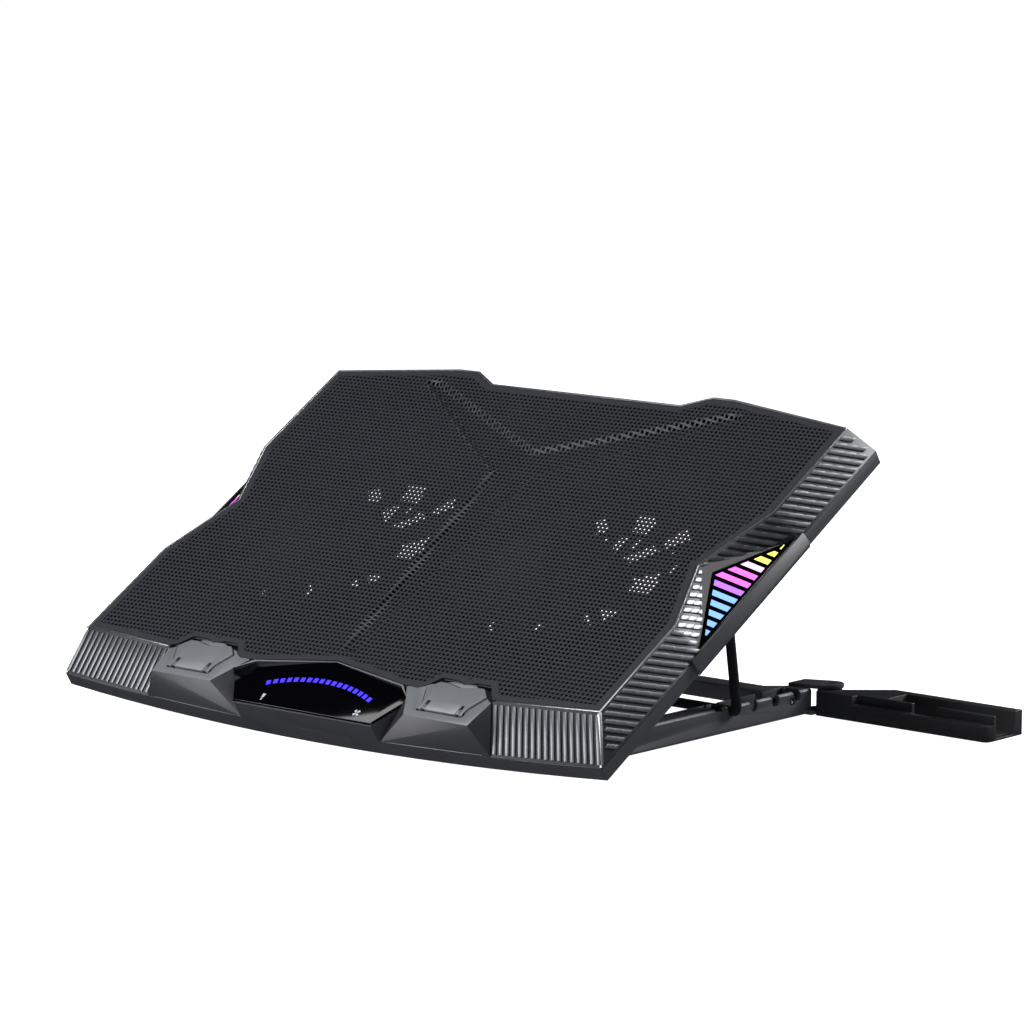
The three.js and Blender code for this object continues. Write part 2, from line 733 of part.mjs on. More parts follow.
function build_fan_frame(x) {
  const ring = disc(x, fan_v, fan_radius, fan_floor, fan_top, 40)
    .subtract(disc(x, fan_v, fan_radius - ring_wall, fan_floor - beyond, fan_top + beyond, 40));
  const cup = disc(x, fan_v, cup_radius, fan_floor, fan_floor + cup_height);
  let frame = join(ring, cup);
  for (let i = 0; i < spokes; i++) {
    const angle = 2 * Math.PI * (i + 0.5) / spokes;
    const along = [Math.cos(angle), Math.sin(angle)];
    const across = [-along[1] * spoke_half, along[0] * spoke_half];
    const spot = (reach, way) => [x + along[0] * reach + way * across[0],
      fan_v + along[1] * reach + way * across[1]];
    const inner = cup_radius - 4;
    const outer = fan_radius - 1.5;
    frame = frame.add(prism([spot(inner, -1), spot(outer, -1), spot(outer, 1), spot(inner, 1)],
      fan_floor, fan_floor + 2));
  }
  const prop_room = on_side(Math.sign(x), recess(recess_wall + seam, 0));
  return cut(frame, disc(x, fan_v, axle_radius + 0.5, fan_floor + 0.8, fan_floor + 5, 12), prop_room);
}

// one blade: a flat slab pitched about its own radius, with room between its tip and the ring
function blade(angle) {
  const half = blade_thickness / 2;
  const section = [
    [-blade_half_width, blade_rise - half], [blade_half_width, -blade_rise - half],
    [blade_half_width, -blade_rise + half], [-blade_half_width, blade_rise + half],
  ];
  const slab = bar_y(section, hub_radius - 3, fan_radius - ring_wall - tip_clearance);
  return solid(geometry_of(slab).rotateZ(angle));
}

function build_fan_rotor(x) {
  const hub_bottom = fan_floor + cup_height + 0.5;
  const hub_top = fan_top - 1;
  const middle = (hub_bottom + hub_top) / 2;
  let rotor = join(disc(0, 0, hub_radius, hub_bottom, hub_top, 28),
    disc(0, 0, axle_radius, fan_floor + 1.2, hub_bottom + 1, 10));
  for (let i = 0; i < fan_blades; i++) {
    rotor = rotor.add(moved(blade(2 * Math.PI * i / fan_blades), 0, 0, middle));
  }
  return moved(rotor, x, fan_v, 0);
}

for (const [name, side] of sides) {
  add(deck_plane, `${name}_fan_frame`, build_fan_frame(side * fan_x), black_plastic);
  add(deck_plane, `${name}_fan_rotor`, build_fan_rotor(side * fan_x), black_plastic);
}

// ---- rear sockets -------------------------------------------------------------------------

const board_top = socket_h - socket_height / 2 - seam;
add(deck_plane, 'socket_board', box([socket_points[0] - 10, socket_points[1] + 10],
  [socket_face - socket_depth - 4, socket_face - 3], [board_top - 1.6, board_top]), circuit_green);

for (const [i, x] of socket_points.entries()) {
  const half = socket_width / 2;
  const tall = socket_height / 2;
  const body = box([x - half, x + half], [socket_face - socket_depth, socket_face],
    [socket_h - tall, socket_h + tall]);
  const mouth = box([x - half + socket_wall, x + half - socket_wall],
    [socket_face - 10, socket_face + beyond],
    [socket_h - tall + socket_wall, socket_h + tall - socket_wall]);
  const tongue = box([x - half + 1.9, x + half - 1.9], [socket_face - 11, socket_face - 1],
    [socket_h + 0.2, socket_h + 1.7]);
  add(deck_plane, `usb_socket_${i + 1}`, body.subtract(mouth).add(tongue), bright_steel);
}

// ---- base frame ---------------------------------------------------------------------------

function notch_tool(y) {
  const profile = [[y - notch_half, 30]];
  for (let i = 0; i <= 6; i++) {
    const angle = Math.PI + Math.PI * i / 6;
    profile.push([y + notch_half * Math.cos(angle), prop_foot_z + notch_half * Math.sin(angle)]);
  }
  profile.push([y + notch_half, 30]);
  return bar_x(ccw(profile), rail_inner - 5, rail_outer + 5);
}

const foot_points = [
  ['front_left_foot', -lug_x, 34], ['front_right_foot', lug_x, 34],
  ['rear_left_foot', -lug_x, 192], ['rear_right_foot', lug_x, 192],
];

function foot_pad(x, y, half_x, half_y, low, high) {
  const radius = half_x;
  const points = [];
  for (const [cy, from] of [[half_y - radius, 0], [radius - half_y, Math.PI]]) {
    for (let i = 0; i <= 6; i++) {
      const angle = from + Math.PI * i / 6;
      points.push([x + radius * Math.cos(angle), y + cy + radius * Math.sin(angle)]);
    }
  }
  return prism(points, low, high);
}

function build_rail(side) {
  const section = [
    [rail_inner, ground_gap], [rail_outer, ground_gap], [rail_outer, rail_height - rail_chamfer],
    [rail_outer - rail_chamfer, rail_height], [rail_inner + rail_chamfer, rail_height],
    [rail_inner, rail_height - rail_chamfer],
  ];
  const nose = [];
  for (let i = 0; i <= 12; i++) {
    const angle = Math.PI / 2 + Math.PI * i / 12;
    nose.push([hinge_y + rail_nose * Math.cos(angle), hinge_z + rail_nose * Math.sin(angle)]);
  }
  const outline = bar_x(ccw([...nose, [rail_rear, hinge_z - rail_nose], [rail_rear, 40],
    [hinge_y, 40]]), rail_inner - 1, rail_outer + 1);
  let rail = bar_y(section, hinge_y - rail_nose, rail_rear).intersect(outline);
  rail = rail.subtract(box([rail_inner + rail_wall, rail_outer - rail_wall],
    [channel_front, rail_rear - 8], [channel_floor, 30]));
  rail = rail.subtract(box([rail_inner + 1.6, rail_outer + 1], [channel_front, notch_first - 8],
    [rail_height - 1.4, 30]));
  for (let i = 0; i < notch_count; i++) {
    rail = rail.subtract(notch_tool(notch_first + i * notch_pitch));
  }
  const slot_half = lug_thickness / 2 + 0.4;
  rail = rail.subtract(box([lug_x - slot_half, lug_x + slot_half],
    [hinge_y - rail_nose - 1, hinge_y + 12], [hinge_z - lug_radius - 0.5, 30]));
  rail = rail.subtract(rod_x(hinge_y, hinge_z, hinge_pin_radius + pin_play,
    rail_inner - beyond, rail_outer + beyond));
  for (const [y, z] of bar_screws) {
    rail = cut(rail,
      rod_x(y, z, bar_screw_radius + screw_play, rail_inner - beyond, rail_outer + beyond, 12),
      rod_x(y, z, bar_screw_head + screw_play, rail_outer - 2, rail_outer + beyond, 12));
  }
  for (const [, x, y] of foot_points) {
    if (x > 0) {
      rail = rail.subtract(foot_pad(x, y, foot_half_x + seam, foot_half_y + seam,
        -1, ground_gap + foot_sink));
    }
  }
  if (side > 0) rail = add_ears(rail);
  return on_side(side, rail);
}

// an arc of ear outline about the arm's pivot, counter-clockwise
function ear_arc(from, to) {
  const points = [];
  for (let i = 0; i <= 8; i++) {
    const angle = from + (to - from) * i / 8;
    points.push([arm_pivot[0] + ear_radius * Math.cos(angle),
      arm_pivot[1] + ear_radius * Math.sin(angle)]);
  }
  return points;
}

// two ears on the right rail hold the phone arm's knuckle between them; the lower one is
// narrow, because the arm's deep body turns round it
function add_ears(rail) {
  const [px, py] = arm_pivot;
  const upper_plan = [
    [rail_inner + rail_chamfer, rail_rear - 4], [px + 2, rail_rear + 1.5],
    ...ear_arc(-Math.PI / 3, Math.PI * 5 / 9), [rail_inner + rail_chamfer, py + 0.8],
  ];
  const lower_plan = [
    [rail_outer - 8, rail_rear - 6], [px - 0.4, rail_rear - 6],
    ...ear_arc(-Math.PI / 2, Math.PI), [rail_outer - 8, rail_rear - 0.1],
  ];
  const ear_top = ear_bottom + ear_thickness;
  const upper = prism(upper_plan, ear_bottom, ear_top);
  const lower = prism(lower_plan, ground_gap, ground_gap + ear_thickness);
  const riser = box([rail_inner + rail_chamfer, rail_outer - rail_chamfer],
    [rail_rear - 3.5, rail_rear], [Math.min(rail_height, ear_bottom) - rail_chamfer, ear_top])
    .intersect(prism(upper_plan, 0, ear_top));
  return cut(join(rail, upper, riser, lower), disc(px, py, arm_pin_radius + pin_play, -beyond, 30));
}

function build_rear_crossbar() {
  const near = crossbar_front_y;
  const far = crossbar_front_y + crossbar_depth;
  const plan = mirrored([[crossbar_end, near], [crossbar_end, far + 10], [128.5, far]]);
  const top = rail_height - crossbar_drop;
  const edge = 2;
  const chamfer = bar_x([[near - 1, top - edge], [near + edge, rail_height + 1],
    [near - 1, rail_height + 1]], -crossbar_end - beyond, crossbar_end + beyond);
  return prism(ccw(plan), crossbar_bottom, top).subtract(chamfer);
}

function screw_bores(bar, y, z) {
  const bore = rod_x(y, z, bar_screw_radius + screw_play, crossbar_end - 12, crossbar_end + beyond, 12);
  return cut(bar, bore, flip_x(bore));
}

function build_front_crossbar() {
  const bar = box([-crossbar_end, crossbar_end], [front_bar_front, front_bar_rear],
    [ground_gap, front_bar_top]);
  return bar.subtract(box([-strip_half_x - seam, strip_half_x + seam],
    [-strip_half_y - seam, strip_half_y + seam], [-1, ground_gap + foot_sink]));
}

add(cooling_pad, 'left_rail', build_rail(-1), grey_plastic);
add(cooling_pad, 'right_rail', build_rail(1), grey_plastic);
add(cooling_pad, 'rear_crossbar', screw_bores(build_rear_crossbar(), ...bar_screws[0]), grey_plastic);
add(cooling_pad, 'front_crossbar', screw_bores(build_front_crossbar(), ...bar_screws[1]), grey_plastic);

for (const [name, x, y] of foot_points) {
  const pad = foot_pad(x, y, foot_half_x, foot_half_y, 0, ground_gap + foot_sink - foot_play);
  add(cooling_pad, name, pad, rubber);
}
add(cooling_pad, 'front_foot_strip', box([-strip_half_x, strip_half_x],
  [-strip_half_y, strip_half_y], [0, ground_gap + foot_sink - foot_play]), rubber);

for (const [row, [y, z]] of bar_screws.entries()) {
  for (const [name, side] of sides) {
    const screw = join(rod_x(y, z, bar_screw_radius, crossbar_end - 11, rail_outer - 1.4, 10),
      rod_x(y, z, bar_screw_head, rail_outer - 1.8, rail_outer - 0.3, 12));
    add(cooling_pad, `${row ? 'front' : 'rear'}_${name}_bar_screw`, on_side(side, screw), bright_steel);
  }
}

for (const [name, side] of sides) {
  const pin = rod_x(hinge_y, hinge_z, hinge_pin_radius, rail_inner + 0.2, rail_outer - 0.2);
  add(cooling_pad, `${name}_hinge_pin`, on_side(side, pin), bright_steel);
}

// ---- prop ---------------------------------------------------------------------------------

function build_prop() {
  const lean = THREE.MathUtils.degToRad(prop_lean_deg);
  const foot = rod_x(notch_first, prop_foot_z, wire_radius, -leg_x, leg_x);
  const parts = [foot];
  for (const [, side] of sides) {
    const leg = new THREE.CylinderGeometry(wire_radius, wire_radius, prop_length, 16);
    leg.translate(0, prop_length / 2, 0).rotateX(Math.PI / 2 + lean);
    parts.push(solid(leg.translate(side * leg_x, notch_first, prop_foot_z)));
    const elbow = new THREE.SphereGeometry(wire_radius + 0.1, 16, 10);
    parts.push(solid(elbow.translate(side * leg_x, notch_first, prop_foot_z)));
  }
  return join(...parts);
}

add(cooling_pad, 'prop_bar', build_prop(), black_steel);

// ---- phone arm ----------------------------------------------------------------------------

function build_phone_arm() {
  const [px, py] = arm_pivot;
  const plan = [
    [px + 0.4, arm_front], [arm_end - arm_corner, arm_front], [arm_end - 1, arm_front + 1],
    [arm_end, arm_front + arm_corner], [arm_end, arm_rear], [px + 32.3, arm_rear], [px + 9.7, py + 0.6],
    [px + 0.4, py + 0.6],
  ];
  const body = prism(plan, arm_bottom, arm_height);
  const front_ledge = box([px + 26, arm_end + 1], [arm_front - 1, ridge_front], [arm_ledge_top, 30]);
  const trough = bar_x([[ridge_back, trough_floor], [back_wall - 3.5, trough_floor],
    [back_wall, 30], [ridge_back, 30]], trough_x, arm_end + 1);
  const cable_gap = bar_x([[ridge_front - 1, 8], [ridge_back + 1, 8], [ridge_back + 1, 30],
    [ridge_front - 1, 30]], ...cable_gap_x);
  let arm = cut(body, front_ledge, trough, cable_gap,
    disc(px, py, knuckle_radius + 1.5, -1, lower_clear));
  arm = arm.add(disc(px, py, knuckle_radius, lower_clear, arm_height));
  const underside_room = box([px + 40, arm_end - 3], [ridge_back + 1.5, back_wall - 5], [-1, 0.8]);
  arm = cut(arm, disc(px, py, arm_pin_radius + pin_play, -beyond, 30), underside_room);
  return arm;
}

add(cooling_pad, 'phone_arm', build_phone_arm(), black_plastic);
add(cooling_pad, 'arm_grip_pad', box([trough_x + 2, arm_end - 2], [ridge_back + 0.5, back_wall - 4],
  [trough_floor + 0.02, trough_floor + 0.9]), rubber);

function build_arm_pin() {
  const [px, py] = arm_pivot;
  const top = ear_bottom + ear_thickness;
  return disc(px, py, arm_pin_radius, ground_gap + 0.2, top - 0.1, 16);
}

add(cooling_pad, 'arm_pivot_pin', build_arm_pin(), bright_steel);

export default cooling_pad;
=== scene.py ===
"""A laptop cooling pad: builds the visible pieces of the pad around its fixed frame."""
import json
import math

import bpy
from mathutils import Matrix, Vector


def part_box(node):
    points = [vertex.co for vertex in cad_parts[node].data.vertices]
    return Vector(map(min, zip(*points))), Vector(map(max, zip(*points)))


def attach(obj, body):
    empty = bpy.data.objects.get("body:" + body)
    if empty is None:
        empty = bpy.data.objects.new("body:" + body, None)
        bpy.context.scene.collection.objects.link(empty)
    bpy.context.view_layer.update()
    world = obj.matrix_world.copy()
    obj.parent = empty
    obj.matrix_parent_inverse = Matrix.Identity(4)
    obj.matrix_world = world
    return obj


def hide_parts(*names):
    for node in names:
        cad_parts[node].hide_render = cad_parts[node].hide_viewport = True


bl_info = {
    "name": "Laptop cooling pad",
    "version": (1, 0, 0),
    "blender": (4, 5, 0),
    "location": "View3D > Sidebar > Cooling pad",
    "description": "Builds the visible pieces of a laptop cooling pad around its frame",
    "category": "Object",
}

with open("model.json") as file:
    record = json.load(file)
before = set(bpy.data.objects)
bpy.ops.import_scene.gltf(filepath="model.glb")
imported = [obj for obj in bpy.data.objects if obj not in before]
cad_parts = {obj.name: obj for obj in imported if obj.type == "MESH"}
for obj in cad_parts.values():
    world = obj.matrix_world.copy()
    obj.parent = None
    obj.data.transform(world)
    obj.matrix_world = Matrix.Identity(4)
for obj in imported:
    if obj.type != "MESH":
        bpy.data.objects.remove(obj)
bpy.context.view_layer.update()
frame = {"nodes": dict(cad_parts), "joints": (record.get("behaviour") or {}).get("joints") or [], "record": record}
MM = 0.001

JOINTS = {joint["name"]: joint for joint in frame["joints"]}
BODIES = frame["record"]["behaviour"]["bodies"]
SLOTS = {row["node"]: row["material_slot"] for row in frame["record"]["subparts"]}
BODY_OF = {node: body for body, nodes in BODIES.items() for node in nodes}

# The deck's own frame, in millimetres: x across, v from front to rear, h out of the mesh.
HINGE = Vector(JOINTS["deck_tilt"]["pos_m"])
TILT = -math.radians(JOINTS["deck_tilt"]["range_deg"][0])
HINGE_V = 36.3
HINGE_H = -36.5
DECK = (Matrix.Translation(HINGE) @ Matrix.Rotation(TILT, 4, "X")
        @ Matrix.Translation((0, -HINGE_V * MM, -HINGE_H * MM)) @ Matrix.Scale(MM, 4))
DECK_UP = (DECK.to_3x3() @ Vector((0, 0, 1))).normalized()

RIM_X = 205
RIM_H = -18.4
BORDER_X = 195.4
WAIST_X = 176.7
WAIST_V = 162.7
WAIST_HALF = 50.2
MESH_HALF = [
    (0, 44.6), (57.5, 34.8), (68, 34.6), (72.5, 37.2), (78.5, 45), (88, 45), (96, 42.6),
    (104, 45), (113.5, 45), (119.5, 37.2), (125, 34.8), (193.8, 40.1), (193.8, 112.5),
    (175.1, WAIST_V), (193.8, 212.9), (193.8, 288.5), (105.6, 301.7), (90.4, 301.7),
    (72.4, 291.7),
]
TRIM_POINTS = 11                   # how many of those lie along the front trim
BAND_HALF = [
    (5.4, 53), (16, 217), (50.7, 238.7), (124, 289), (113.5, 292), (37.7, 256.7), (0, 240.3),
]
STEEPNESS = -RIM_H / (RIM_X - BORDER_X)
WINDOW_INNER = 184
WINDOW_OUTER = 203
WINDOW_HALF = 48.2

BOARD_ROUND = 0.1                  # on the edges of the circuit boards
WELD = 0.004                       # points of a frame node this close are one point
FLAT_ANGLE = 0.6                   # its faces this near to flat, in degrees, are one face
SMOOTH_ANGLE = 30                  # edges flatter than this, in degrees, are shaded smooth


def slope_point(v, drop):
    """The place on the right side slope at v, this far below the sheet."""
    along = min(1, abs(v - WAIST_V) / WAIST_HALF)
    return (WAIST_X + (BORDER_X - WAIST_X) * along + drop / STEEPNESS, v, -drop)


def window_edge(v):
    """Where the side window's inner edge lies at v, or None beyond its ends."""
    away = abs(v - WAIST_V)
    if away > WINDOW_HALF:
        return None
    return WINDOW_INNER + (WINDOW_OUTER - WINDOW_INNER) * away / WINDOW_HALF


def mirrored(half):
    return half + [(-x, v) for x, v in reversed(half) if x > 0]


def on_side(ring, side):
    """Four points given for the right side, mirrored for the left with the same winding."""
    if side > 0:
        return ring
    return [(-x, v, h) for x, v, h in (ring[1], ring[0], ring[3], ring[2])]


# ---- sizes and colours that a user would change --------------------------------------------

def millimetres(name, default, text):
    return bpy.props.FloatProperty(name=name, description=text, default=default, min=0.01)


def colour(name, default, text):
    return bpy.props.StringProperty(name=name, description=text + ", as an sRGB hex value",
                                    default=default)


class PadSizes(bpy.types.PropertyGroup):
    hole_pitch: millimetres("Hole pitch", 3.14, "From one mesh hole to the next, in mm")
    web_width: millimetres("Web width", 1.15, "Metal between two holes, in mm")
    sheet_thickness: millimetres("Sheet thickness", 1.0, "Of the perforated sheet, in mm")
    band_depth: millimetres("Band depth", 2.0, "How far the Y band is sunk, in mm")
    band_slope: millimetres("Band slope", 3.0, "Width of the band's sloping sides, in mm")
    front_ribs: bpy.props.IntProperty(name="Front ribs", default=17,
                                      description="Ribs on each front corner slope")
    side_rib_pitch: millimetres("Side rib pitch", 6.2, "Between ribs on the sides, in mm")
    rib_height: millimetres("Rib height", 0.7, "How far a rib stands out, in mm")
    level_lights: bpy.props.IntProperty(name="Level lights", default=18,
                                        description="Lit segments in the panel's arc")
    side_lights: bpy.props.IntProperty(name="Side lights", default=12,
                                       description="Lit bars in each side window")
    fan_blades: bpy.props.IntProperty(name="Fan blades", default=9,
                                      description="Blades on each fan")
    edge_round: millimetres("Edge round", 0.5, "Radius on moulded edges, in mm")


class PadColours(bpy.types.PropertyGroup):
    black_abs: colour("Black ABS", "#17181b", "Upper frame, fans and phone arm")
    grey_abs: colour("Grey ABS", "#2e3035", "Lower shell and base frame")
    lacquer: colour("Lacquer", "#8b8e94", "Flat tops of the front trim and stops")
    painted_shade_lacquer: colour("Lacquer in painted shade", "#2b2c31", "Fronts of the front trim")
    # a darker copy of the lacquer: painted shade on the fronts of the front trim
    powder_coat: colour("Powder coat", "#34353b", "Perforated sheet")
    rib_coat: colour("Rib coat", "#6a6c72", "Ribs on the slopes")
    wire_coat: colour("Wire coat", "#0d0d0f", "Prop wire")
    bright_edge: colour("Bright edge", "#c4c6cb", "Line round the perforated sheet")
    zinc: colour("Zinc", "#a2a5a9", "Screws, pins and sockets")
    acrylic: colour("Acrylic", "#050507", "Control panel and side windows")
    rubber: colour("Rubber", "#161617", "Feet and grips")
    level_light: colour("Level light", "#3a2cf0", "Arc on the control panel")


def sizes():
    return bpy.context.scene.pad_sizes


def colours():
    return bpy.context.scene.pad_colours


# ---- materials ------------------------------------------------------------------------------

def linear(hex_value):
    """The sRGB hex value as linear colour."""
    parts = [int(hex_value[i:i + 2], 16) / 255 for i in (1, 3, 5)]
    return tuple(p / 12.92 if p <= 0.04045 else ((p + 0.055) / 1.055) ** 2.4 for p in parts) + (1,)


def per_metre(size_mm):
    """The texture scale whose features are this many millimetres across."""
    return 1 / (size_mm * MM)


def add_node(tree, kind, inputs=None, **settings):
    """Adds one node; a tuple of (node, output name) as an input value is a link."""
    node = tree.nodes.new(kind)
    for key, value in settings.items():
        setattr(node, key, value)
    for key, value in (inputs or {}).items():
        if isinstance(value, tuple) and hasattr(value[0], "outputs"):
            tree.links.new(value[0].outputs[value[1]], node.inputs[key])
        else:
            node.inputs[key].default_value = value
    return node


def new_material(name, base, roughness, **settings):
    material = bpy.data.materials.new(name)
    material.use_nodes = True
    tree = material.node_tree
    surface = tree.nodes["Principled BSDF"]
    surface.inputs["Base Color"].default_value = linear(base)
    surface.inputs["Roughness"].default_value = roughness
    for key, value in settings.items():
        surface.inputs[key.replace("_", " ")].default_value = value
    return material, tree, surface


def grain(tree, surface, size_mm, depth_mm, detail=3.0, stretch=(1, 1, 1)):
    """A fine surface grain of a real size, as bump; returns its texture node."""
    place = add_node(tree, "ShaderNodeTexCoord")
    turn = add_node(tree, "ShaderNodeMapping", {"Vector": (place, "Object"), "Scale": stretch})
    texture = add_node(tree, "ShaderNodeTexNoise",
                       {"Vector": (turn, "Vector"), "Scale": per_metre(size_mm), "Detail": detail})
    bump = add_node(tree, "ShaderNodeBump", {"Height": (texture, "Fac"), "Strength": 0.6,
                                             "Distance": depth_mm * MM})
    tree.links.new(bump.outputs["Normal"], surface.inputs["Normal"])
    return texture


def vary(tree, texture, surface, socket, low, high):
    """Lets the texture drive a number on the surface between two values."""
    spread = add_node(tree, "ShaderNodeMapRange", {"Value": (texture, "Fac"), "To Min": low,
                                                   "To Max": high})
    tree.links.new(spread.outputs["Result"], surface.inputs[socket])


def tint(tree, surface, base, size_mm, amount):
    """Slow, cloudy variation of the base colour, as handling and moulding leave."""
    place = add_node(tree, "ShaderNodeTexCoord")
    cloud = add_node(tree, "ShaderNodeTexNoise", {"Vector": (place, "Object"),
                                                  "Scale": per_metre(size_mm), "Detail": 2.0})
    r, g, b, _ = linear(base)
    dark = (r * (1 - amount), g * (1 - amount), b * (1 - amount), 1)
    light = (r * (1 + amount), g * (1 + amount), b * (1 + amount), 1)
    mix = add_node(tree, "ShaderNodeMix", data_type="RGBA")
    tree.links.new(cloud.outputs["Fac"], mix.inputs["Factor"])
    mix.inputs[6].default_value = dark
    mix.inputs[7].default_value = light
    tree.links.new(mix.outputs[2], surface.inputs["Base Color"])


def spark_eroded_abs(name, base, roughness=0.46):
    """Moulded ABS from a spark-eroded tool: a tight matt grain that catches a dull sheen."""
    material, tree, surface = new_material(name, base, roughness, IOR=1.53)
    texture = grain(tree, surface, 0.7, 0.05)
    vary(tree, texture, surface, "Roughness", roughness - 0.08, roughness + 0.1)
    tint(tree, surface, base, 45, 0.12)
    return material


def metallic_lacquer(name, base, metallic=0.3):
    """Metallic lacquer over ABS: small flakes under a clear satin coat."""
    material, tree, surface = new_material(name, base, 0.36, Metallic=metallic, Coat_Weight=0.3,
                                           Coat_Roughness=0.2)
    # real flakes are under 0.1 mm and would not show, so they are drawn at 0.5 mm
    texture = grain(tree, surface, 0.5, 0.012, detail=1.0)
    vary(tree, texture, surface, "Roughness", 0.3, 0.44)
    tint(tree, surface, base, 30, 0.08)
    return material


def powder_coated_steel(name, base):
    """Powder coat on steel: a low orange-peel skin with soft highlights."""
    material, tree, surface = new_material(name, base, 0.42, IOR=1.5)
    texture = grain(tree, surface, 1.1, 0.04)
    vary(tree, texture, surface, "Roughness", 0.34, 0.52)
    tint(tree, surface, base, 60, 0.1)
    return material


def brushed_metal(name, base, roughness=0.28):
    """Metal brushed along x: long fine scratches that streak the highlight."""
    material, tree, surface = new_material(name, base, roughness, Metallic=1.0)
    texture = grain(tree, surface, 0.4, 0.01, stretch=(0.06, 1, 1))
    vary(tree, texture, surface, "Roughness", roughness - 0.08, roughness + 0.14)
    return material


def cast_acrylic(name, base):
    """Polished acrylic: near-black and mirror smooth, with faint fingerprints in the gloss."""
    material, tree, surface = new_material(name, base, 0.07, IOR=1.49)
    texture = grain(tree, surface, 14, 0.004, detail=4.0)
    vary(tree, texture, surface, "Roughness", 0.04, 0.14)
    tint(tree, surface, base, 20, 0.2)
    return material


def moulded_rubber(name, base):
    """Moulded rubber: dead matt, slightly dusty."""
    material, tree, surface = new_material(name, base, 0.86)
    texture = grain(tree, surface, 0.9, 0.07)
    vary(tree, texture, surface, "Roughness", 0.78, 0.95)
    tint(tree, surface, base, 12, 0.25)
    return material


def solder_masked_board(name):
    """Glass-epoxy board under green solder mask, with copper tracks showing through."""
    material, tree, surface = new_material(name, "#1d4a2c", 0.4)
    place = add_node(tree, "ShaderNodeTexCoord")
    tracks = add_node(tree, "ShaderNodeTexBrick", {
        "Vector": (place, "Object"), "Scale": 1.0, "Brick Width": 9 * MM, "Row Height": 2 * MM,
        "Mortar Size": 0.3 * MM, "Color1": linear("#1d4a2c"), "Color2": linear("#215533"),
        "Mortar": linear("#2f7a46")})
    tree.links.new(tracks.outputs["Color"], surface.inputs["Base Color"])
    grain(tree, surface, 0.8, 0.02)
    return material


def lit_acrylic(name, base, strength):
    """Light guide seen from its lit face: an even glow, a little mottled by the moulding."""
    material, tree, surface = new_material(name, base, 0.3)
    surface.inputs["Emission Color"].default_value = linear(base)
    surface.inputs["Emission Strength"].default_value = strength
    texture = grain(tree, surface, 1.5, 0.01)
    vary(tree, texture, surface, "Roughness", 0.22, 0.4)
    return material


MATERIALS = {}
SIDE_COLOURS = {"sky": "#6fa4f6", "violet": "#a55cf0", "magenta": "#f05cf0", "pale_pink": "#f4bdf0",
                "yellow": "#f2f05a"}
SIDE_ORDER = ["sky"] * 5 + ["violet"] + ["magenta"] * 2 + ["pale_pink"] + ["yellow"] * 3
SLOT_MATERIALS = {
    "black_plastic": "black_abs", "grey_plastic": "grey_abs", "metal_paint": "lacquer",
    "black_steel": "wire_coat", "bright_steel": "zinc", "gloss_black": "acrylic",
    "rubber": "rubber", "circuit_board": "board", "light_plastic": "level_light",
}


def make_materials():
    paint = colours()
    MATERIALS.update({
        "black_abs": spark_eroded_abs("spark_eroded_black_abs", paint.black_abs),
        "grey_abs": spark_eroded_abs("spark_eroded_grey_abs", paint.grey_abs),
        "lacquer": metallic_lacquer("metallic_lacquer_on_abs", paint.lacquer),
        # the lacquer's darker copy, painted shade for the front trim's fronts
        "painted_shade_lacquer": spark_eroded_abs("dark_lacquer_on_abs", paint.painted_shade_lacquer, 0.38),
        "rib_coat": metallic_lacquer("satin_lacquer_on_ribs", paint.rib_coat, 0.75),
        "powder_coat": powder_coated_steel("powder_coated_steel_sheet", paint.powder_coat),
        "wire_coat": powder_coated_steel("powder_coated_steel_wire", paint.wire_coat),
        "bright_edge": brushed_metal("bright_anodised_edge", paint.bright_edge, 0.3),
        "zinc": brushed_metal("zinc_plated_steel", paint.zinc),
        "acrylic": cast_acrylic("polished_black_acrylic", paint.acrylic),
        "rubber": moulded_rubber("moulded_black_rubber", paint.rubber),
        "board": solder_masked_board("solder_masked_board"),
        "level_light": lit_acrylic("blue_lit_acrylic", paint.level_light, 1.6),
        "sign": lit_acrylic("white_printed_sign", "#b9bcc8", 0.25),
    })
    for name, base in SIDE_COLOURS.items():
        MATERIALS[name] = lit_acrylic(name + "_lit_acrylic", base, 0.85)



# ---- modelling helpers ----------------------------------------------------------------------

def choose(*pieces):
    """Selects only these pieces; the first is active."""
    for other in list(bpy.context.selected_objects):
        other.select_set(False)
    for piece in pieces:
        piece.select_set(True)
    if pieces:
        bpy.context.view_layer.objects.active = pieces[0]


def pick_faces(piece, test):
    """Selects the faces whose polygon passes the test, and nothing else."""
    bpy.context.scene.tool_settings.mesh_select_mode = (False, False, True)
    edit(piece, lambda: bpy.ops.mesh.select_all(action="DESELECT"))
    for face in piece.data.polygons:
        face.select = bool(test(face))


def edit(piece, *steps):
    """Runs edit-mode steps on everything in the piece."""
    choose(piece)
    bpy.ops.object.mode_set(mode="EDIT")
    bpy.ops.mesh.select_all(action="SELECT")
    for step in steps:
        step()
    bpy.ops.object.mode_set(mode="OBJECT")


def apply_modifier(piece, kind, **settings):
    choose(piece)
    modifier = piece.modifiers.new(kind.lower(), kind)
    for key, value in settings.items():
        setattr(modifier, key, value)
    bpy.ops.object.modifier_apply(modifier=modifier.name)


def soften(piece, width_mm, segments=2, angle=32):
    """Rounds the piece's sharp edges."""
    apply_modifier(piece, "BEVEL", width=width_mm * MM, segments=segments, limit_method="ANGLE",
                   angle_limit=math.radians(angle))
    choose(piece)
    bpy.ops.object.shade_smooth_by_angle(angle=math.radians(SMOOTH_ANGLE))


def settle(piece, matrix):
    """Moves the mesh itself to its place, which leaves the object at the origin."""
    choose(piece)
    piece.matrix_world = matrix
    bpy.ops.object.transform_apply(location=True, rotation=True, scale=True)


def joined(pieces, name):
    choose(*pieces)
    if len(pieces) > 1:
        bpy.ops.object.join()
    piece = bpy.context.view_layer.objects.active
    piece.name = name
    piece.data.name = name
    return piece


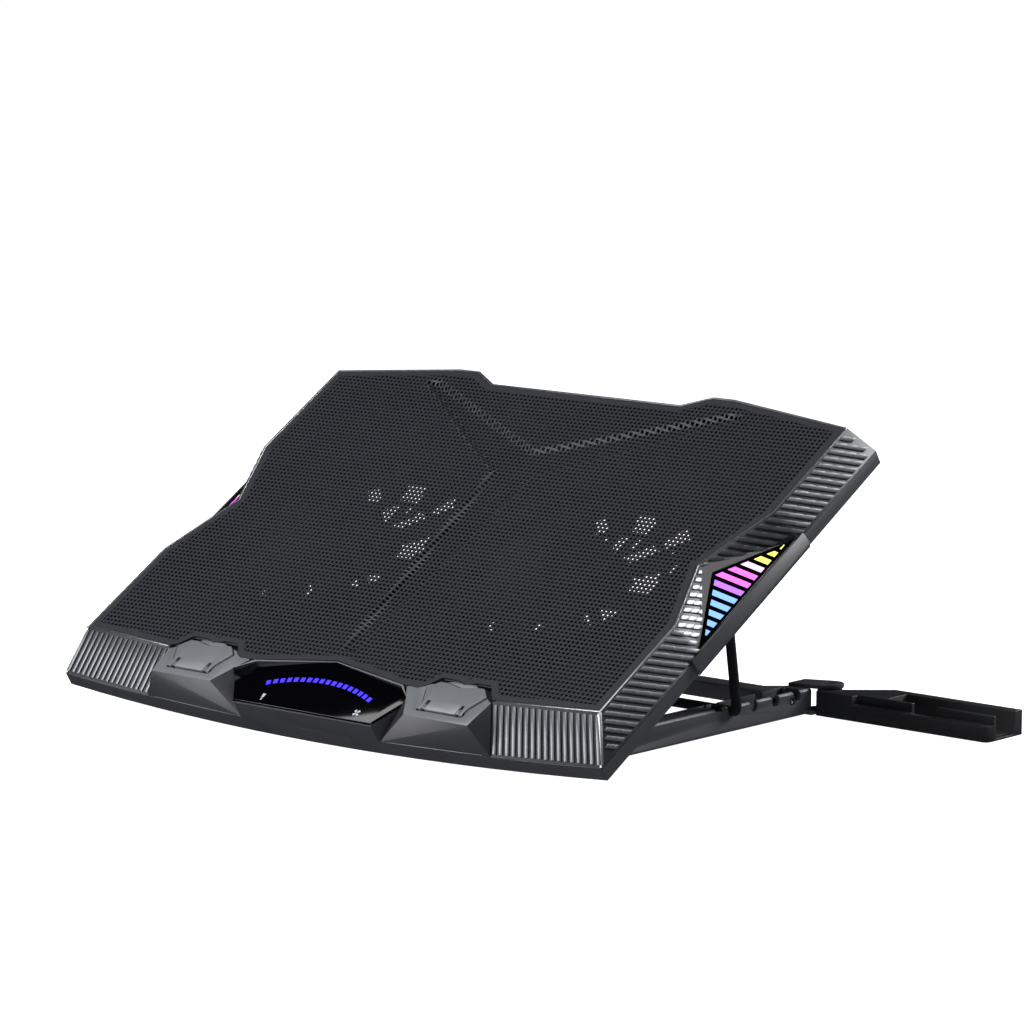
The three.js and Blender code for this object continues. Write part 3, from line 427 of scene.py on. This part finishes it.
def block(bottom, top):
    """A cube whose corners are moved: each list goes round from the low corner."""
    choose()
    bpy.ops.mesh.primitive_cube_add(size=1)
    piece = bpy.context.active_object
    order = {(-1, -1): 0, (1, -1): 1, (1, 1): 2, (-1, 1): 3}
    for vertex in piece.data.vertices:
        sign = (1 if vertex.co.x > 0 else -1, 1 if vertex.co.y > 0 else -1)
        vertex.co = (top if vertex.co.z > 0 else bottom)[order[sign]]
    return piece


def bar(corners, height, sunk=0.4):
    """A low bar standing on four corners that go round counter-clockwise seen from outside."""
    corners = [Vector(c) for c in corners]
    out = (corners[1] - corners[0]).cross(corners[3] - corners[0]).normalized()
    return block([c - out * sunk for c in corners], [c + out * height for c in corners])


def finish_piece(piece, body, slot, *materials, replaces=()):
    piece.data.materials.clear()
    for material in materials:
        piece.data.materials.append(MATERIALS[material])
    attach(piece, body)
    if replaces:
        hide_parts(*replaces)
    return piece


def refined_copy(node, width_mm, segments=2):
    """A copy of a frame node with its loose triangles merged and its edges rounded."""
    source = frame["nodes"][node]
    piece = source.copy()
    piece.data = source.data.copy()
    piece.parent = None
    piece.matrix_world = Matrix.Identity(4)
    bpy.context.scene.collection.objects.link(piece)
    piece.name = node + "_shell"
    piece.data.name = piece.name
    edit(piece,
         lambda: bpy.ops.mesh.remove_doubles(threshold=WELD * MM),
         lambda: bpy.ops.mesh.dissolve_limited(angle_limit=math.radians(FLAT_ANGLE)))
    if width_mm:
        soften(piece, width_mm, segments)
    return piece


def cover(node, width_mm, *materials, segments=2):
    """Replaces a frame node with its own refined copy."""
    piece = refined_copy(node, width_mm, segments)
    chosen = materials or (SLOT_MATERIALS[SLOTS[node]],)
    return finish_piece(piece, BODY_OF[node], SLOTS[node], *chosen, replaces=(node,))


def inside_distance(x, v, outline):
    """How far inside an outline a point lies; negative outside."""
    nearest = math.inf
    within = False
    for (x0, v0), (x1, v1) in zip(outline, outline[1:] + outline[:1]):
        run = (x1 - x0, v1 - v0)
        t = ((x - x0) * run[0] + (v - v0) * run[1]) / (run[0] ** 2 + run[1] ** 2)
        t = max(0, min(1, t))
        nearest = min(nearest, math.hypot(x - x0 - t * run[0], v - v0 - t * run[1]))
        if (v0 > v) != (v1 > v) and x < x0 + (v - v0) / (v1 - v0) * run[0]:
            within = not within
    return nearest if within else -nearest


def inset(outline, distance, closed=True):
    """An outline moved inwards (to its left) by a distance."""
    moved = []
    count = len(outline)
    for i, (x, v) in enumerate(outline):
        x0, v0 = outline[i - 1] if closed or i else (2 * x - outline[1][0], 2 * v - outline[1][1])
        x1, v1 = outline[(i + 1) % count] if closed or i < count - 1 else (2 * x - x0, 2 * v - v0)
        a = math.atan2(v - v0, x - x0)
        b = math.atan2(v1 - v, x1 - x)
        half = math.atan2(math.sin(b - a), math.cos(b - a)) / 2
        reach = distance / math.cos(half)
        way = a + half + math.pi / 2
        moved.append((x + reach * math.cos(way), v + reach * math.sin(way)))
    return moved


def ribbon(outer, inner, low, high, closed):
    """Blocks end to end between two outlines with equally many points, made one body."""
    pieces = []
    count = len(outer)
    for i in range(count if closed else count - 1):
        k = (i + 1) % count
        ring = [outer[i], outer[k], inner[k], inner[i]]
        pieces.append(block([(*p, low) for p in ring], [(*p, high) for p in ring]))
    piece = joined(pieces, "ribbon")
    edit(piece,
         lambda: bpy.ops.mesh.remove_doubles(threshold=0.001),
         lambda: bpy.ops.mesh.select_all(action="DESELECT"),
         lambda: bpy.ops.mesh.select_interior_faces(),
         lambda: bpy.ops.mesh.delete(type="FACE"))
    return piece


# ---- operators, one for each piece or group of like pieces ------------------------------------

class PAD_OT_perforated_sheet(bpy.types.Operator):
    """Build the perforated sheet with its sunk band, in strips"""
    bl_idname = "pad.perforated_sheet"
    bl_label = "Perforated sheet"

    strips = 4
    margin = 2.4                   # plain metal between the sheet's edge and the first holes
    half_width = 194
    front = 33
    rear = 302
    rim_reach = (0.2, 4.2)         # from the sheet's edge to the rim's outer and inner sides
    rim_heights = (-1.0, 0.12)

    def strip(self, first, last, rows, outline, band):
        size = sizes()
        pitch = size.hole_pitch
        choose()
        bpy.ops.mesh.primitive_grid_add(x_subdivisions=last - first, y_subdivisions=rows, size=1)
        piece = bpy.context.active_object
        for vertex in piece.data.vertices:
            vertex.co.x = (first + (vertex.co.x + 0.5) * (last - first)) * pitch - self.half_width
            vertex.co.y = self.front + (vertex.co.y + 0.5) * rows * pitch
        pick_faces(piece, lambda face: inside_distance(face.center.x, face.center.y, outline)
                   < self.margin)
        choose(piece)
        bpy.ops.object.mode_set(mode="EDIT")
        bpy.ops.mesh.delete(type="FACE")
        bpy.ops.mesh.select_all(action="SELECT")
        bpy.ops.mesh.inset(thickness=size.web_width / 2, use_individual=True)
        bpy.ops.mesh.delete(type="FACE")
        bpy.ops.object.mode_set(mode="OBJECT")
        for vertex in piece.data.vertices:
            depth = inside_distance(vertex.co.x, vertex.co.y, band) / size.band_slope
            vertex.co.z = -size.band_depth * max(0, min(1, depth))
        apply_modifier(piece, "SOLIDIFY", thickness=size.sheet_thickness, offset=-1)
        settle(piece, DECK)
        return piece

    def execute(self, context):
        pitch = sizes().hole_pitch
        columns = round(2 * self.half_width / pitch)
        rows = round((self.rear - self.front) / pitch)
        outline = mirrored(MESH_HALF)
        band = mirrored(BAND_HALF)
        for i in range(self.strips):
            first = columns * i // self.strips
            last = columns * (i + 1) // self.strips
            piece = self.strip(first, last, rows, outline, band)
            piece.name = f"perforated_sheet_{i + 1}"
            finish_piece(piece, "deck", "black_steel", "powder_coat",
                         replaces=("mesh_panel",) if i == 0 else ())
        outer, inner = (inset(outline, reach) for reach in self.rim_reach)
        rim = ribbon(outer, inner, *self.rim_heights, closed=True)
        settle(rim, DECK)
        rim.name = "sheet_rim"
        finish_piece(rim, "deck", "black_steel", "powder_coat")
        return {"FINISHED"}


class PAD_OT_bright_edge(bpy.types.Operator):
    """Build the bright line that runs round the sheet from pod to pod"""
    bl_idname = "pad.bright_edge"
    bl_label = "Bright edge"

    width = 1.4
    gap = 0.1                      # between the line and the sheet
    heights = (-0.6, 0.35)
    line_round = 0.2
    corner_top = (BORDER_X, 38.4, 0.1)
    corner_foot = (RIM_X - 0.6, 17.2, RIM_H + 0.4)
    corner_square = [(-1.2, -1.0), (0.6, -1.0), (0.6, 0.8), (-1.2, 0.8)]

    def corner_ring(self, place, side):
        """The four points of a corner line's end."""
        x, v, h = place
        return on_side([(x + dx, v + dv, h) for dx, dv in self.corner_square], side)

    def execute(self, context):
        path = mirrored(MESH_HALF[TRIM_POINTS - 1:])
        outer, inner = (inset(path, -reach, False) for reach in (self.width, self.gap))
        piece = ribbon(outer, inner, *self.heights, closed=False)
        settle(piece, DECK)
        soften(piece, self.line_round)
        piece.name = "bright_edge"
        finish_piece(piece, "deck", "metal_paint", "bright_edge")
        lines = [block(self.corner_ring(self.corner_foot, side),
                       self.corner_ring(self.corner_top, side)) for side in (-1, 1)]
        piece = joined(lines, "corner_lines")
        settle(piece, DECK)
        soften(piece, self.line_round)
        finish_piece(piece, "deck", "metal_paint", "bright_edge")
        return {"FINISHED"}


class PAD_OT_upper_frame(bpy.types.Operator):
    """Build the deck's upper frame with the ribs on its slopes"""
    bl_idname = "pad.upper_frame"
    bl_label = "Upper frame"

    rib_share = 0.55               # how much of the pitch is rib
    rib_lean = 1.06                # how far a side rib runs rearwards for each mm it drops
    rib_start = 0.7                # first drop below the sheet
    rib_sunk = 0.6
    rib_round = 0.18
    edge_gap = 1                   # between the side ribs and the rim or the window
    drop_step = 0.25
    bends = 3                      # a rib is this many straight bars, to follow the slope
    shortest = 2.5
    first_v = 14
    last_v = 288
    front_corner = 40.2            # where the side slope starts, and how it spreads downwards
    front_fall = 1.2
    rear_corner = 287.5
    rear_rise = 0.27
    front_gap = 0.3                # share of a pitch before the first front rib
    front_reach = (0.05, 0.95)     # where a front rib starts and ends on its slope
    front_top = ((123, 33.2, 0), (195.4, 38.5, 0))
    front_foot = ((131.2, 9.9, RIM_H), (205, 16.3, RIM_H))

    def rib_reach(self, start):
        """The first and last drop at which this line lies on the side slope."""
        first = last = None
        for i in range(int(-RIM_H / self.drop_step)):
            drop = self.rib_start + i * self.drop_step
            x, v, _ = slope_point(start + self.rib_lean * drop, drop)
            front = self.front_corner - self.front_fall * drop
            rear = self.rear_corner + self.rear_rise * drop
            on_slope = front < v < rear and drop < -RIM_H - self.edge_gap
            edge = window_edge(v)
            if on_slope and not (edge and x > edge - self.edge_gap):
                first = drop if first is None else first
                last = drop
            elif first is not None:
                break
        return first, last

    def side_ribs(self, side):
        size = sizes()
        pitch = size.side_rib_pitch
        half = pitch * self.rib_share / 2
        ribs = []
        for i in range(int((self.last_v - self.first_v) / pitch)):
            starts = [self.first_v + pitch * i - half, self.first_v + pitch * i + half]
            reaches = [self.rib_reach(start) for start in starts]
            if None in reaches[0] + reaches[1]:
                continue
            first = max(reach[0] for reach in reaches)
            last = min(reach[1] for reach in reaches)
            if last - first < self.shortest:
                continue
            drops = [first + (last - first) * k / self.bends for k in range(self.bends + 1)]
            for top, low in zip(drops, drops[1:]):
                ring = [slope_point(start + self.rib_lean * drop, drop)
                        for start, drop in ((starts[0], top), (starts[0], low),
                                            (starts[1], low), (starts[1], top))]
                ribs.append(bar(on_side(ring, side), size.rib_height, self.rib_sunk))
        return ribs

    def front_ribs(self, side):
        size = sizes()
        ribs = []
        share = self.rib_share / size.front_ribs
        for i in range(size.front_ribs):
            start = (i + self.front_gap) / size.front_ribs
            ends = []
            for t in (start, start + share):
                top = Vector(self.front_top[0]).lerp(Vector(self.front_top[1]), t)
                foot = Vector(self.front_foot[0]).lerp(Vector(self.front_foot[1]), t)
                ends.append([tuple(top.lerp(foot, reach)) for reach in self.front_reach])
            (top_a, low_a), (top_b, low_b) = ends
            ring = on_side([low_a, low_b, top_b, top_a], side)
            ribs.append(bar(ring, size.rib_height, self.rib_sunk))
        return ribs

    def execute(self, context):
        cover("upper_frame", sizes().edge_round)
        for name, side in (("left", -1), ("right", 1)):
            for kind, ribs in (("side", self.side_ribs(side)), ("front", self.front_ribs(side))):
                piece = joined(ribs, f"{name}_{kind}_ribs")
                settle(piece, DECK)
                soften(piece, self.rib_round)
                finish_piece(piece, "deck", "metal_paint", "rib_coat")
        return {"FINISHED"}


class PAD_OT_front_trim(bpy.types.Operator):
    """Build the front trim, lacquer on its flat tops and a darker copy of it on its fronts as painted shade"""
    bl_idname = "pad.front_trim"
    bl_label = "Front trim"

    facing_up = 0.9                # faces turned this far towards the deck's top get the lacquer; the others get its darker copy, painted shade

    def execute(self, context):
        piece = cover("front_trim", sizes().edge_round, "painted_shade_lacquer", "lacquer")
        for face in piece.data.polygons:
            face.material_index = 1 if face.normal.dot(DECK_UP) > self.facing_up else 0
        return {"FINISHED"}


class PAD_OT_laptop_stops(bpy.types.Operator):
    """Build the two flip-up stops and their pins"""
    bl_idname = "pad.laptop_stops"
    bl_label = "Laptop stops"

    stop_round = 0.45
    pin_round = 0.15

    def execute(self, context):
        for name in ("left", "right"):
            cover(f"{name}_stop", self.stop_round, "lacquer", segments=3)
            cover(f"{name}_stop_pin", self.pin_round)
        return {"FINISHED"}


class PAD_OT_control_panel(bpy.types.Operator):
    """Build the glossy panel with its arc of lights and its two signs"""
    bl_idname = "pad.control_panel"
    bl_label = "Control panel"

    slope = 4.5 / 37.5             # how far the panel falls for each mm forwards
    peak = 43                      # where its plane is level with the sheet
    radius = 108
    middle = (2, 28.6)             # the crown of the arc
    half_angle = 0.385
    half_band = 1.5                # half the arc's width
    lit_share = (0.2, 0.8)         # where a light starts and ends in its step of the arc
    tile_height = 0.09
    tile_sunk = 0.3
    lens_round = 0.25
    guide_round = 0.15
    lamp_sign = (-33, 11)
    lamp_glass = (-0.6, 2.3, 1.2)  # a leaf's start and end from its sign's centre, half width
    lamp_cap = (0.9, 2.2, 0.6)
    fan_sign = (38.5, 11.2)
    fan_petal = (0.5, 2.4, 0.9)
    fan_petals = 4

    def place(self, x, v):
        return (x, v, -self.slope * (self.peak - v))

    def tile(self, ring):
        return bar([self.place(x, v) for x, v in ring], self.tile_height, self.tile_sunk)

    def arc(self):
        count = sizes().level_lights
        inner = self.radius - self.half_band
        outer = self.radius + self.half_band
        tiles = []
        for i in range(count):
            start, end = (self.half_angle * (1 - 2 * (i + share) / count)
                          for share in self.lit_share)
            tiles.append(self.tile([
                (self.middle[0] - radius * math.sin(angle),
                 self.middle[1] - self.radius + radius * math.cos(angle))
                for angle, radius in ((start, inner), (end, inner), (end, outer), (start, outer))]))
        return tiles

    def petal(self, centre, angle, near, far, half):
        """One leaf of a sign: narrow near its centre and wide at its end."""
        along = (math.cos(angle), math.sin(angle))
        ring = []
        for reach, way in ((near, -0.5), (far, -1), (far, 1), (near, 0.5)):
            ring.append((centre[0] + along[0] * reach - along[1] * way * half,
                         centre[1] + along[1] * reach + along[0] * way * half))
        return self.tile(ring)

    def execute(self, context):
        cover("control_lens", self.lens_round)
        cover("level_light_guide", self.guide_round)
        cover("control_board", BOARD_ROUND)
        lights = joined(self.arc(), "level_lights")
        settle(lights, DECK)
        finish_piece(lights, "deck", "light_plastic", "level_light")
        marks = [self.petal(self.fan_sign, math.pi / 4 + math.pi / 2 * i, *self.fan_petal)
                 for i in range(self.fan_petals)]
        marks += [self.petal(self.lamp_sign, math.pi / 2, *self.lamp_glass),
                  self.petal(self.lamp_sign, -math.pi / 2, *self.lamp_cap)]
        signs = joined(marks, "panel_signs")
        settle(signs, DECK)
        finish_piece(signs, "deck", "light_plastic", "sign")
        return {"FINISHED"}


class PAD_OT_side_windows(bpy.types.Operator):
    """Build the side windows with their coloured light bars, and the side trims"""
    bl_idname = "pad.side_windows"
    bl_label = "Side windows"

    margin = 1.6
    bar_share = 0.56
    used = 0.86                    # how much of the window's length carries lights
    lean = 0.257
    middle_x = 193
    step = 0.25
    shortest = 0.5
    bar_height = 0.12
    bar_sunk = 0.3
    lens_round = 0.2
    trim_round = 0.35

    def window_height(self, x):
        return RIM_H * (x - WAIST_X) / (RIM_X - WAIST_X)

    def light_line(self, start):
        """The two ends of one edge of a light bar."""
        high = WINDOW_OUTER - self.margin
        x = WINDOW_INNER
        while x < high - self.shortest:
            v = start + self.lean * (x - self.middle_x)
            edge = window_edge(v)
            if edge and x > edge + self.margin:
                break
            x += self.step
        return [(at, start + self.lean * (at - self.middle_x), self.window_height(at))
                for at in (x, high)]

    def light_bar(self, i, side):
        pitch = 2 * WINDOW_HALF * self.used / sizes().side_lights
        v = WAIST_V - WINDOW_HALF * self.used + pitch * (i + 0.5)
        low_a, high_a = self.light_line(v - pitch * self.bar_share / 2)
        low_b, high_b = self.light_line(v + pitch * self.bar_share / 2)
        ring = on_side([low_a, high_a, high_b, low_b], side)
        return bar(ring, self.bar_height, self.bar_sunk)

    def execute(self, context):
        for name, side in (("left", -1), ("right", 1)):
            cover(f"{name}_light_lens", self.lens_round)
            cover(f"{name}_light_board", BOARD_ROUND)
            cover(f"{name}_side_trim", self.trim_round)
            for tone in SIDE_COLOURS:
                bars = [self.light_bar(i, side) for i, kind in enumerate(SIDE_ORDER)
                        if kind == tone]
                piece = joined(bars, f"{name}_{tone}_lights")
                settle(piece, DECK)
                finish_piece(piece, "deck", "light_plastic", tone)
        return {"FINISHED"}


class PAD_OT_fans(bpy.types.Operator):
    """Build the two fans: ring with spokes, and rotor with curved blades"""
    bl_idname = "pad.fans"
    bl_label = "Fans"

    centre_x = 88
    centre_v = 160
    hub = 21
    hub_depth = 13
    hub_round = 1.4
    tip = 64
    middle = -14.6                 # height of the rotor's middle
    frame_round = 0.25
    root = 1.5                     # how far a blade's root reaches into the hub
    sweep = 0.45                   # how far a blade curves round, in radians at the tip
    chord = 0.62                   # its width at the root, in radians, and what the tip lacks
    chord_loss = 0.14
    rise = 10                      # from its low edge to its high one, and what the tip lacks
    rise_loss = 2.5
    camber = 1.2                   # four times how far its middle is arched
    blade_thickness = 1.3
    smooth_angle = 35

    def blade(self, turn):
        """One blade round the hub, still in millimetres."""
        choose()
        bpy.ops.mesh.primitive_grid_add(x_subdivisions=4, y_subdivisions=8, size=1)
        piece = bpy.context.active_object
        for vertex in piece.data.vertices:
            across, along = vertex.co.x, vertex.co.y + 0.5
            radius = self.hub - self.root + (self.tip - self.hub + self.root) * along
            angle = (turn + self.sweep * along ** 1.5
                     + across * (self.chord - self.chord_loss * along))
            height = (-across * (self.rise - self.rise_loss * along)
                      + self.camber * (0.25 - across ** 2))
            vertex.co = (radius * math.cos(angle), radius * math.sin(angle), height)
        apply_modifier(piece, "SOLIDIFY", thickness=self.blade_thickness, offset=0)
        return piece

    def execute(self, context):
        for name, side in (("left", -1), ("right", 1)):
            cover(f"{name}_fan_frame", self.frame_round)
            choose()
            bpy.ops.mesh.primitive_cylinder_add(vertices=64, radius=self.hub,
                                                depth=self.hub_depth)
            hub = bpy.context.active_object
            soften(hub, self.hub_round / MM, 3)      # the hub is still in millimetres
            count = sizes().fan_blades
            blades = [self.blade(2 * math.pi * i / count) for i in range(count)]
            rotor = joined([hub] + blades, f"{name}_rotor")
            settle(rotor, DECK @ Matrix.Translation((side * self.centre_x, self.centre_v,
                                                     self.middle)))
            choose(rotor)
            bpy.ops.object.shade_smooth_by_angle(angle=math.radians(self.smooth_angle))
            node = f"{name}_fan_rotor"
            finish_piece(rotor, BODY_OF[node], "black_plastic", "grey_abs", replaces=(node,))
        return {"FINISHED"}


class PAD_OT_lower_shell(bpy.types.Operator):
    """Build the lower shell, and the sockets in the rear edge with their board"""
    bl_idname = "pad.lower_shell"
    bl_label = "Lower shell"

    shell_round = 0.3
    socket_round = 0.12

    def execute(self, context):
        cover("lower_shell", self.shell_round)
        cover("socket_board", BOARD_ROUND)
        for node in sorted(SLOTS):
            if node.startswith("usb_socket"):
                cover(node, self.socket_round)
        return {"FINISHED"}


class PAD_OT_screws(bpy.types.Operator):
    """Build every screw, with a cross recess in its head"""
    bl_idname = "pad.screws"
    bl_label = "Screws"

    slots = ((3.0, 0.7), (0.7, 3.0))
    slot_height = 1.4              # half of it is cut into the head
    face_depth = 0.02              # points this near to the outermost one lie on the head's face
    head_round = 0.12

    def execute(self, context):
        for node in sorted(SLOTS):
            if "screw" not in node:
                continue
            piece = refined_copy(node, 0)
            if node.startswith("shell"):
                turn = DECK.to_3x3().normalized().to_4x4()
                outward = -DECK_UP
            else:
                side = 1 if "right" in node else -1
                turn = Matrix.Rotation(math.radians(90), 4, "Y")
                outward = Vector((side, 0, 0))
            reach = max(v.co.dot(outward) for v in piece.data.vertices)
            rim = [v.co for v in piece.data.vertices
                   if v.co.dot(outward) > reach - self.face_depth * MM]
            head = sum(rim, Vector()) / len(rim)
            for long, wide in self.slots:
                choose()
                bpy.ops.mesh.primitive_cube_add(size=1)
                slot = bpy.context.active_object
                settle(slot, Matrix.Translation(head) @ turn
                       @ Matrix.Diagonal((long * MM, wide * MM, self.slot_height * MM, 1)))
                apply_modifier(piece, "BOOLEAN", object=slot, operation="DIFFERENCE")
                bpy.data.objects.remove(slot)
            soften(piece, self.head_round)
            finish_piece(piece, BODY_OF[node], SLOTS[node], "zinc", replaces=(node,))
        return {"FINISHED"}


class PAD_OT_base_frame(bpy.types.Operator):
    """Build the rails, cross members, pins, feet and grips"""
    bl_idname = "pad.base_frame"
    bl_label = "Base frame"

    rounds = {"grey_plastic": 0.45, "bright_steel": 0.2, "rubber": 0.3}

    def execute(self, context):
        for node in BODIES["base"]:
            if "screw" not in node:
                cover(node, self.rounds[SLOTS[node]])
        return {"FINISHED"}


class PAD_OT_prop(bpy.types.Operator):
    """Build the prop as one bent wire"""
    bl_idname = "pad.prop"
    bl_label = "Prop"

    wire = 2.9
    bend = 3.3
    bend_steps = 8
    leg = 86
    lean = math.radians(9)
    side_gap = 0.1
    end_round = 0.5
    end_angle = 50

    def execute(self, context):
        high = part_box("prop_bar")[1]
        foot = Vector(JOINTS["prop_swing"]["pos_m"]) / MM
        leg_x = high.x / MM - self.wire - self.side_gap
        up = Vector((0, -math.sin(self.lean), math.cos(self.lean)))
        half = [foot + Vector((leg_x, 0, 0)) + up * self.leg]
        for i in range(self.bend_steps + 1):
            angle = math.pi / 2 * i / self.bend_steps
            half.append(foot + Vector((leg_x - self.bend * (1 - math.cos(angle)), 0, 0))
                        + up * self.bend * (1 - math.sin(angle)))
        points = half + [Vector((-p.x, p.y, p.z)) for p in reversed(half)]
        curve = bpy.data.curves.new("prop_wire", "CURVE")
        curve.dimensions = "3D"
        curve.bevel_depth = self.wire * MM
        curve.bevel_resolution = 6
        curve.use_fill_caps = True
        spline = curve.splines.new("POLY")
        spline.points.add(len(points) - 1)
        for point, place in zip(spline.points, points):
            point.co = (*(place * MM), 1)
        piece = bpy.data.objects.new("prop_wire", curve)
        bpy.context.scene.collection.objects.link(piece)
        choose(piece)
        bpy.ops.object.convert(target="MESH")
        piece = bpy.context.active_object
        edit(piece, lambda: bpy.ops.mesh.remove_doubles(threshold=0.01 * MM),
             lambda: bpy.ops.mesh.normals_make_consistent(inside=False))
        soften(piece, self.end_round, 3, self.end_angle)
        piece.name = "prop_wire"
        finish_piece(piece, "prop", "black_steel", "wire_coat", replaces=("prop_bar",))
        return {"FINISHED"}


class PAD_OT_phone_arm(bpy.types.Operator):
    """Build the phone arm and the grip pad in its trough"""
    bl_idname = "pad.phone_arm"
    bl_label = "Phone arm"

    arm_round = 0.5
    pad_round = 0.2

    def execute(self, context):
        cover("phone_arm", self.arm_round)
        cover("arm_grip_pad", self.pad_round)
        return {"FINISHED"}


class PAD_OT_stage(bpy.types.Operator):
    """Set the camera, the soft studio lights and the pale floor"""
    bl_idname = "pad.stage"
    bl_label = "Stage"

    lens = 167.84
    sensor = 36
    camera_place = (1.7962, -1.92305, 0.5321)
    pitch = math.radians(8.76)
    yaw = math.radians(41.11)
    roll = math.radians(0.13)
    softboxes = [
        ("rear_right_softbox", (0.74, 1.28, 0.85), 0.5, 22),
        ("overhead_softbox", (0.85, 0.32, 1.45), 0.35, 9),
        ("front_left_softbox", (-1.04, -1.18, 0.3), 0.8, 14),
        ("fill_softbox", (-0.5, -0.9, 1.7), 1.2, 22),
    ]
    aim = Vector((0, 0.08, 0.08))
    floor_size = 30

    def camera(self):
        choose()
        bpy.ops.object.camera_add(location=self.camera_place)
        camera = bpy.context.active_object
        camera.rotation_euler = (Matrix.Rotation(self.yaw, 3, "Z")
                                 @ Matrix.Rotation(math.pi / 2 - self.pitch, 3, "X")
                                 @ Matrix.Rotation(self.roll, 3, "Z")).to_euler()
        camera.data.lens = self.lens
        camera.data.sensor_width = self.sensor
        camera.data.clip_end = 50
        bpy.context.scene.camera = camera

    def execute(self, context):
        self.camera()
        for name, place, size, power in self.softboxes:
            choose()
            bpy.ops.object.light_add(type="AREA", location=place)
            light = bpy.context.active_object
            light.name = name
            light.data.size = size
            light.data.energy = power
            light.visible_camera = False
            light.rotation_euler = (self.aim - Vector(place)).to_track_quat("-Z", "Y").to_euler()
        choose()
        bpy.ops.mesh.primitive_plane_add(size=self.floor_size, location=(0, 0, 0))
        floor = bpy.context.active_object
        floor.name = "pale_floor"
        floor.visible_glossy = False
        paper, _, surface = new_material("pale_paper_sweep", "#c8c8c8", 0.9)
        surface.inputs["Emission Color"].default_value = (1, 1, 1, 1)
        surface.inputs["Emission Strength"].default_value = 1.0
        floor.data.materials.append(paper)
        world = bpy.context.scene.world or bpy.data.worlds.new("studio")
        bpy.context.scene.world = world
        world.use_nodes = True
        sky = world.node_tree.nodes["Background"]
        sky.inputs["Color"].default_value = (1, 1, 1, 1)
        sky.inputs["Strength"].default_value = 1.0
        world.cycles_visibility.diffuse = False
        world.cycles_visibility.glossy = False
        bpy.context.scene.view_settings.view_transform = "Standard"
        return {"FINISHED"}


OPERATORS = (
    PAD_OT_stage, PAD_OT_perforated_sheet, PAD_OT_bright_edge, PAD_OT_upper_frame,
    PAD_OT_front_trim, PAD_OT_laptop_stops, PAD_OT_control_panel, PAD_OT_side_windows,
    PAD_OT_fans, PAD_OT_lower_shell, PAD_OT_screws, PAD_OT_base_frame, PAD_OT_prop,
    PAD_OT_phone_arm,
)


class PAD_PT_sidebar(bpy.types.Panel):
    """Lists the pad's pieces"""
    bl_idname = "PAD_PT_sidebar"
    bl_label = "Cooling pad"
    bl_space_type = "VIEW_3D"
    bl_region_type = "UI"
    bl_category = "Cooling pad"

    def draw(self, context):
        for operator in OPERATORS:
            self.layout.operator(operator.bl_idname)


CLASSES = (PadSizes, PadColours) + OPERATORS + (PAD_PT_sidebar,)


def register():
    for kind in CLASSES:
        bpy.utils.register_class(kind)
    bpy.types.Scene.pad_sizes = bpy.props.PointerProperty(type=PadSizes)
    bpy.types.Scene.pad_colours = bpy.props.PointerProperty(type=PadColours)


def unregister():
    del bpy.types.Scene.pad_colours
    del bpy.types.Scene.pad_sizes
    for kind in reversed(CLASSES):
        bpy.utils.unregister_class(kind)


def corners(box):
    return [[float(value) for value in corner] for corner in box]


def main():
    register()
    make_materials()
    for operator in OPERATORS:
        group, name = operator.bl_idname.split(".")
        getattr(getattr(bpy.ops, group), name)()


if __name__ == "__main__":
    main()
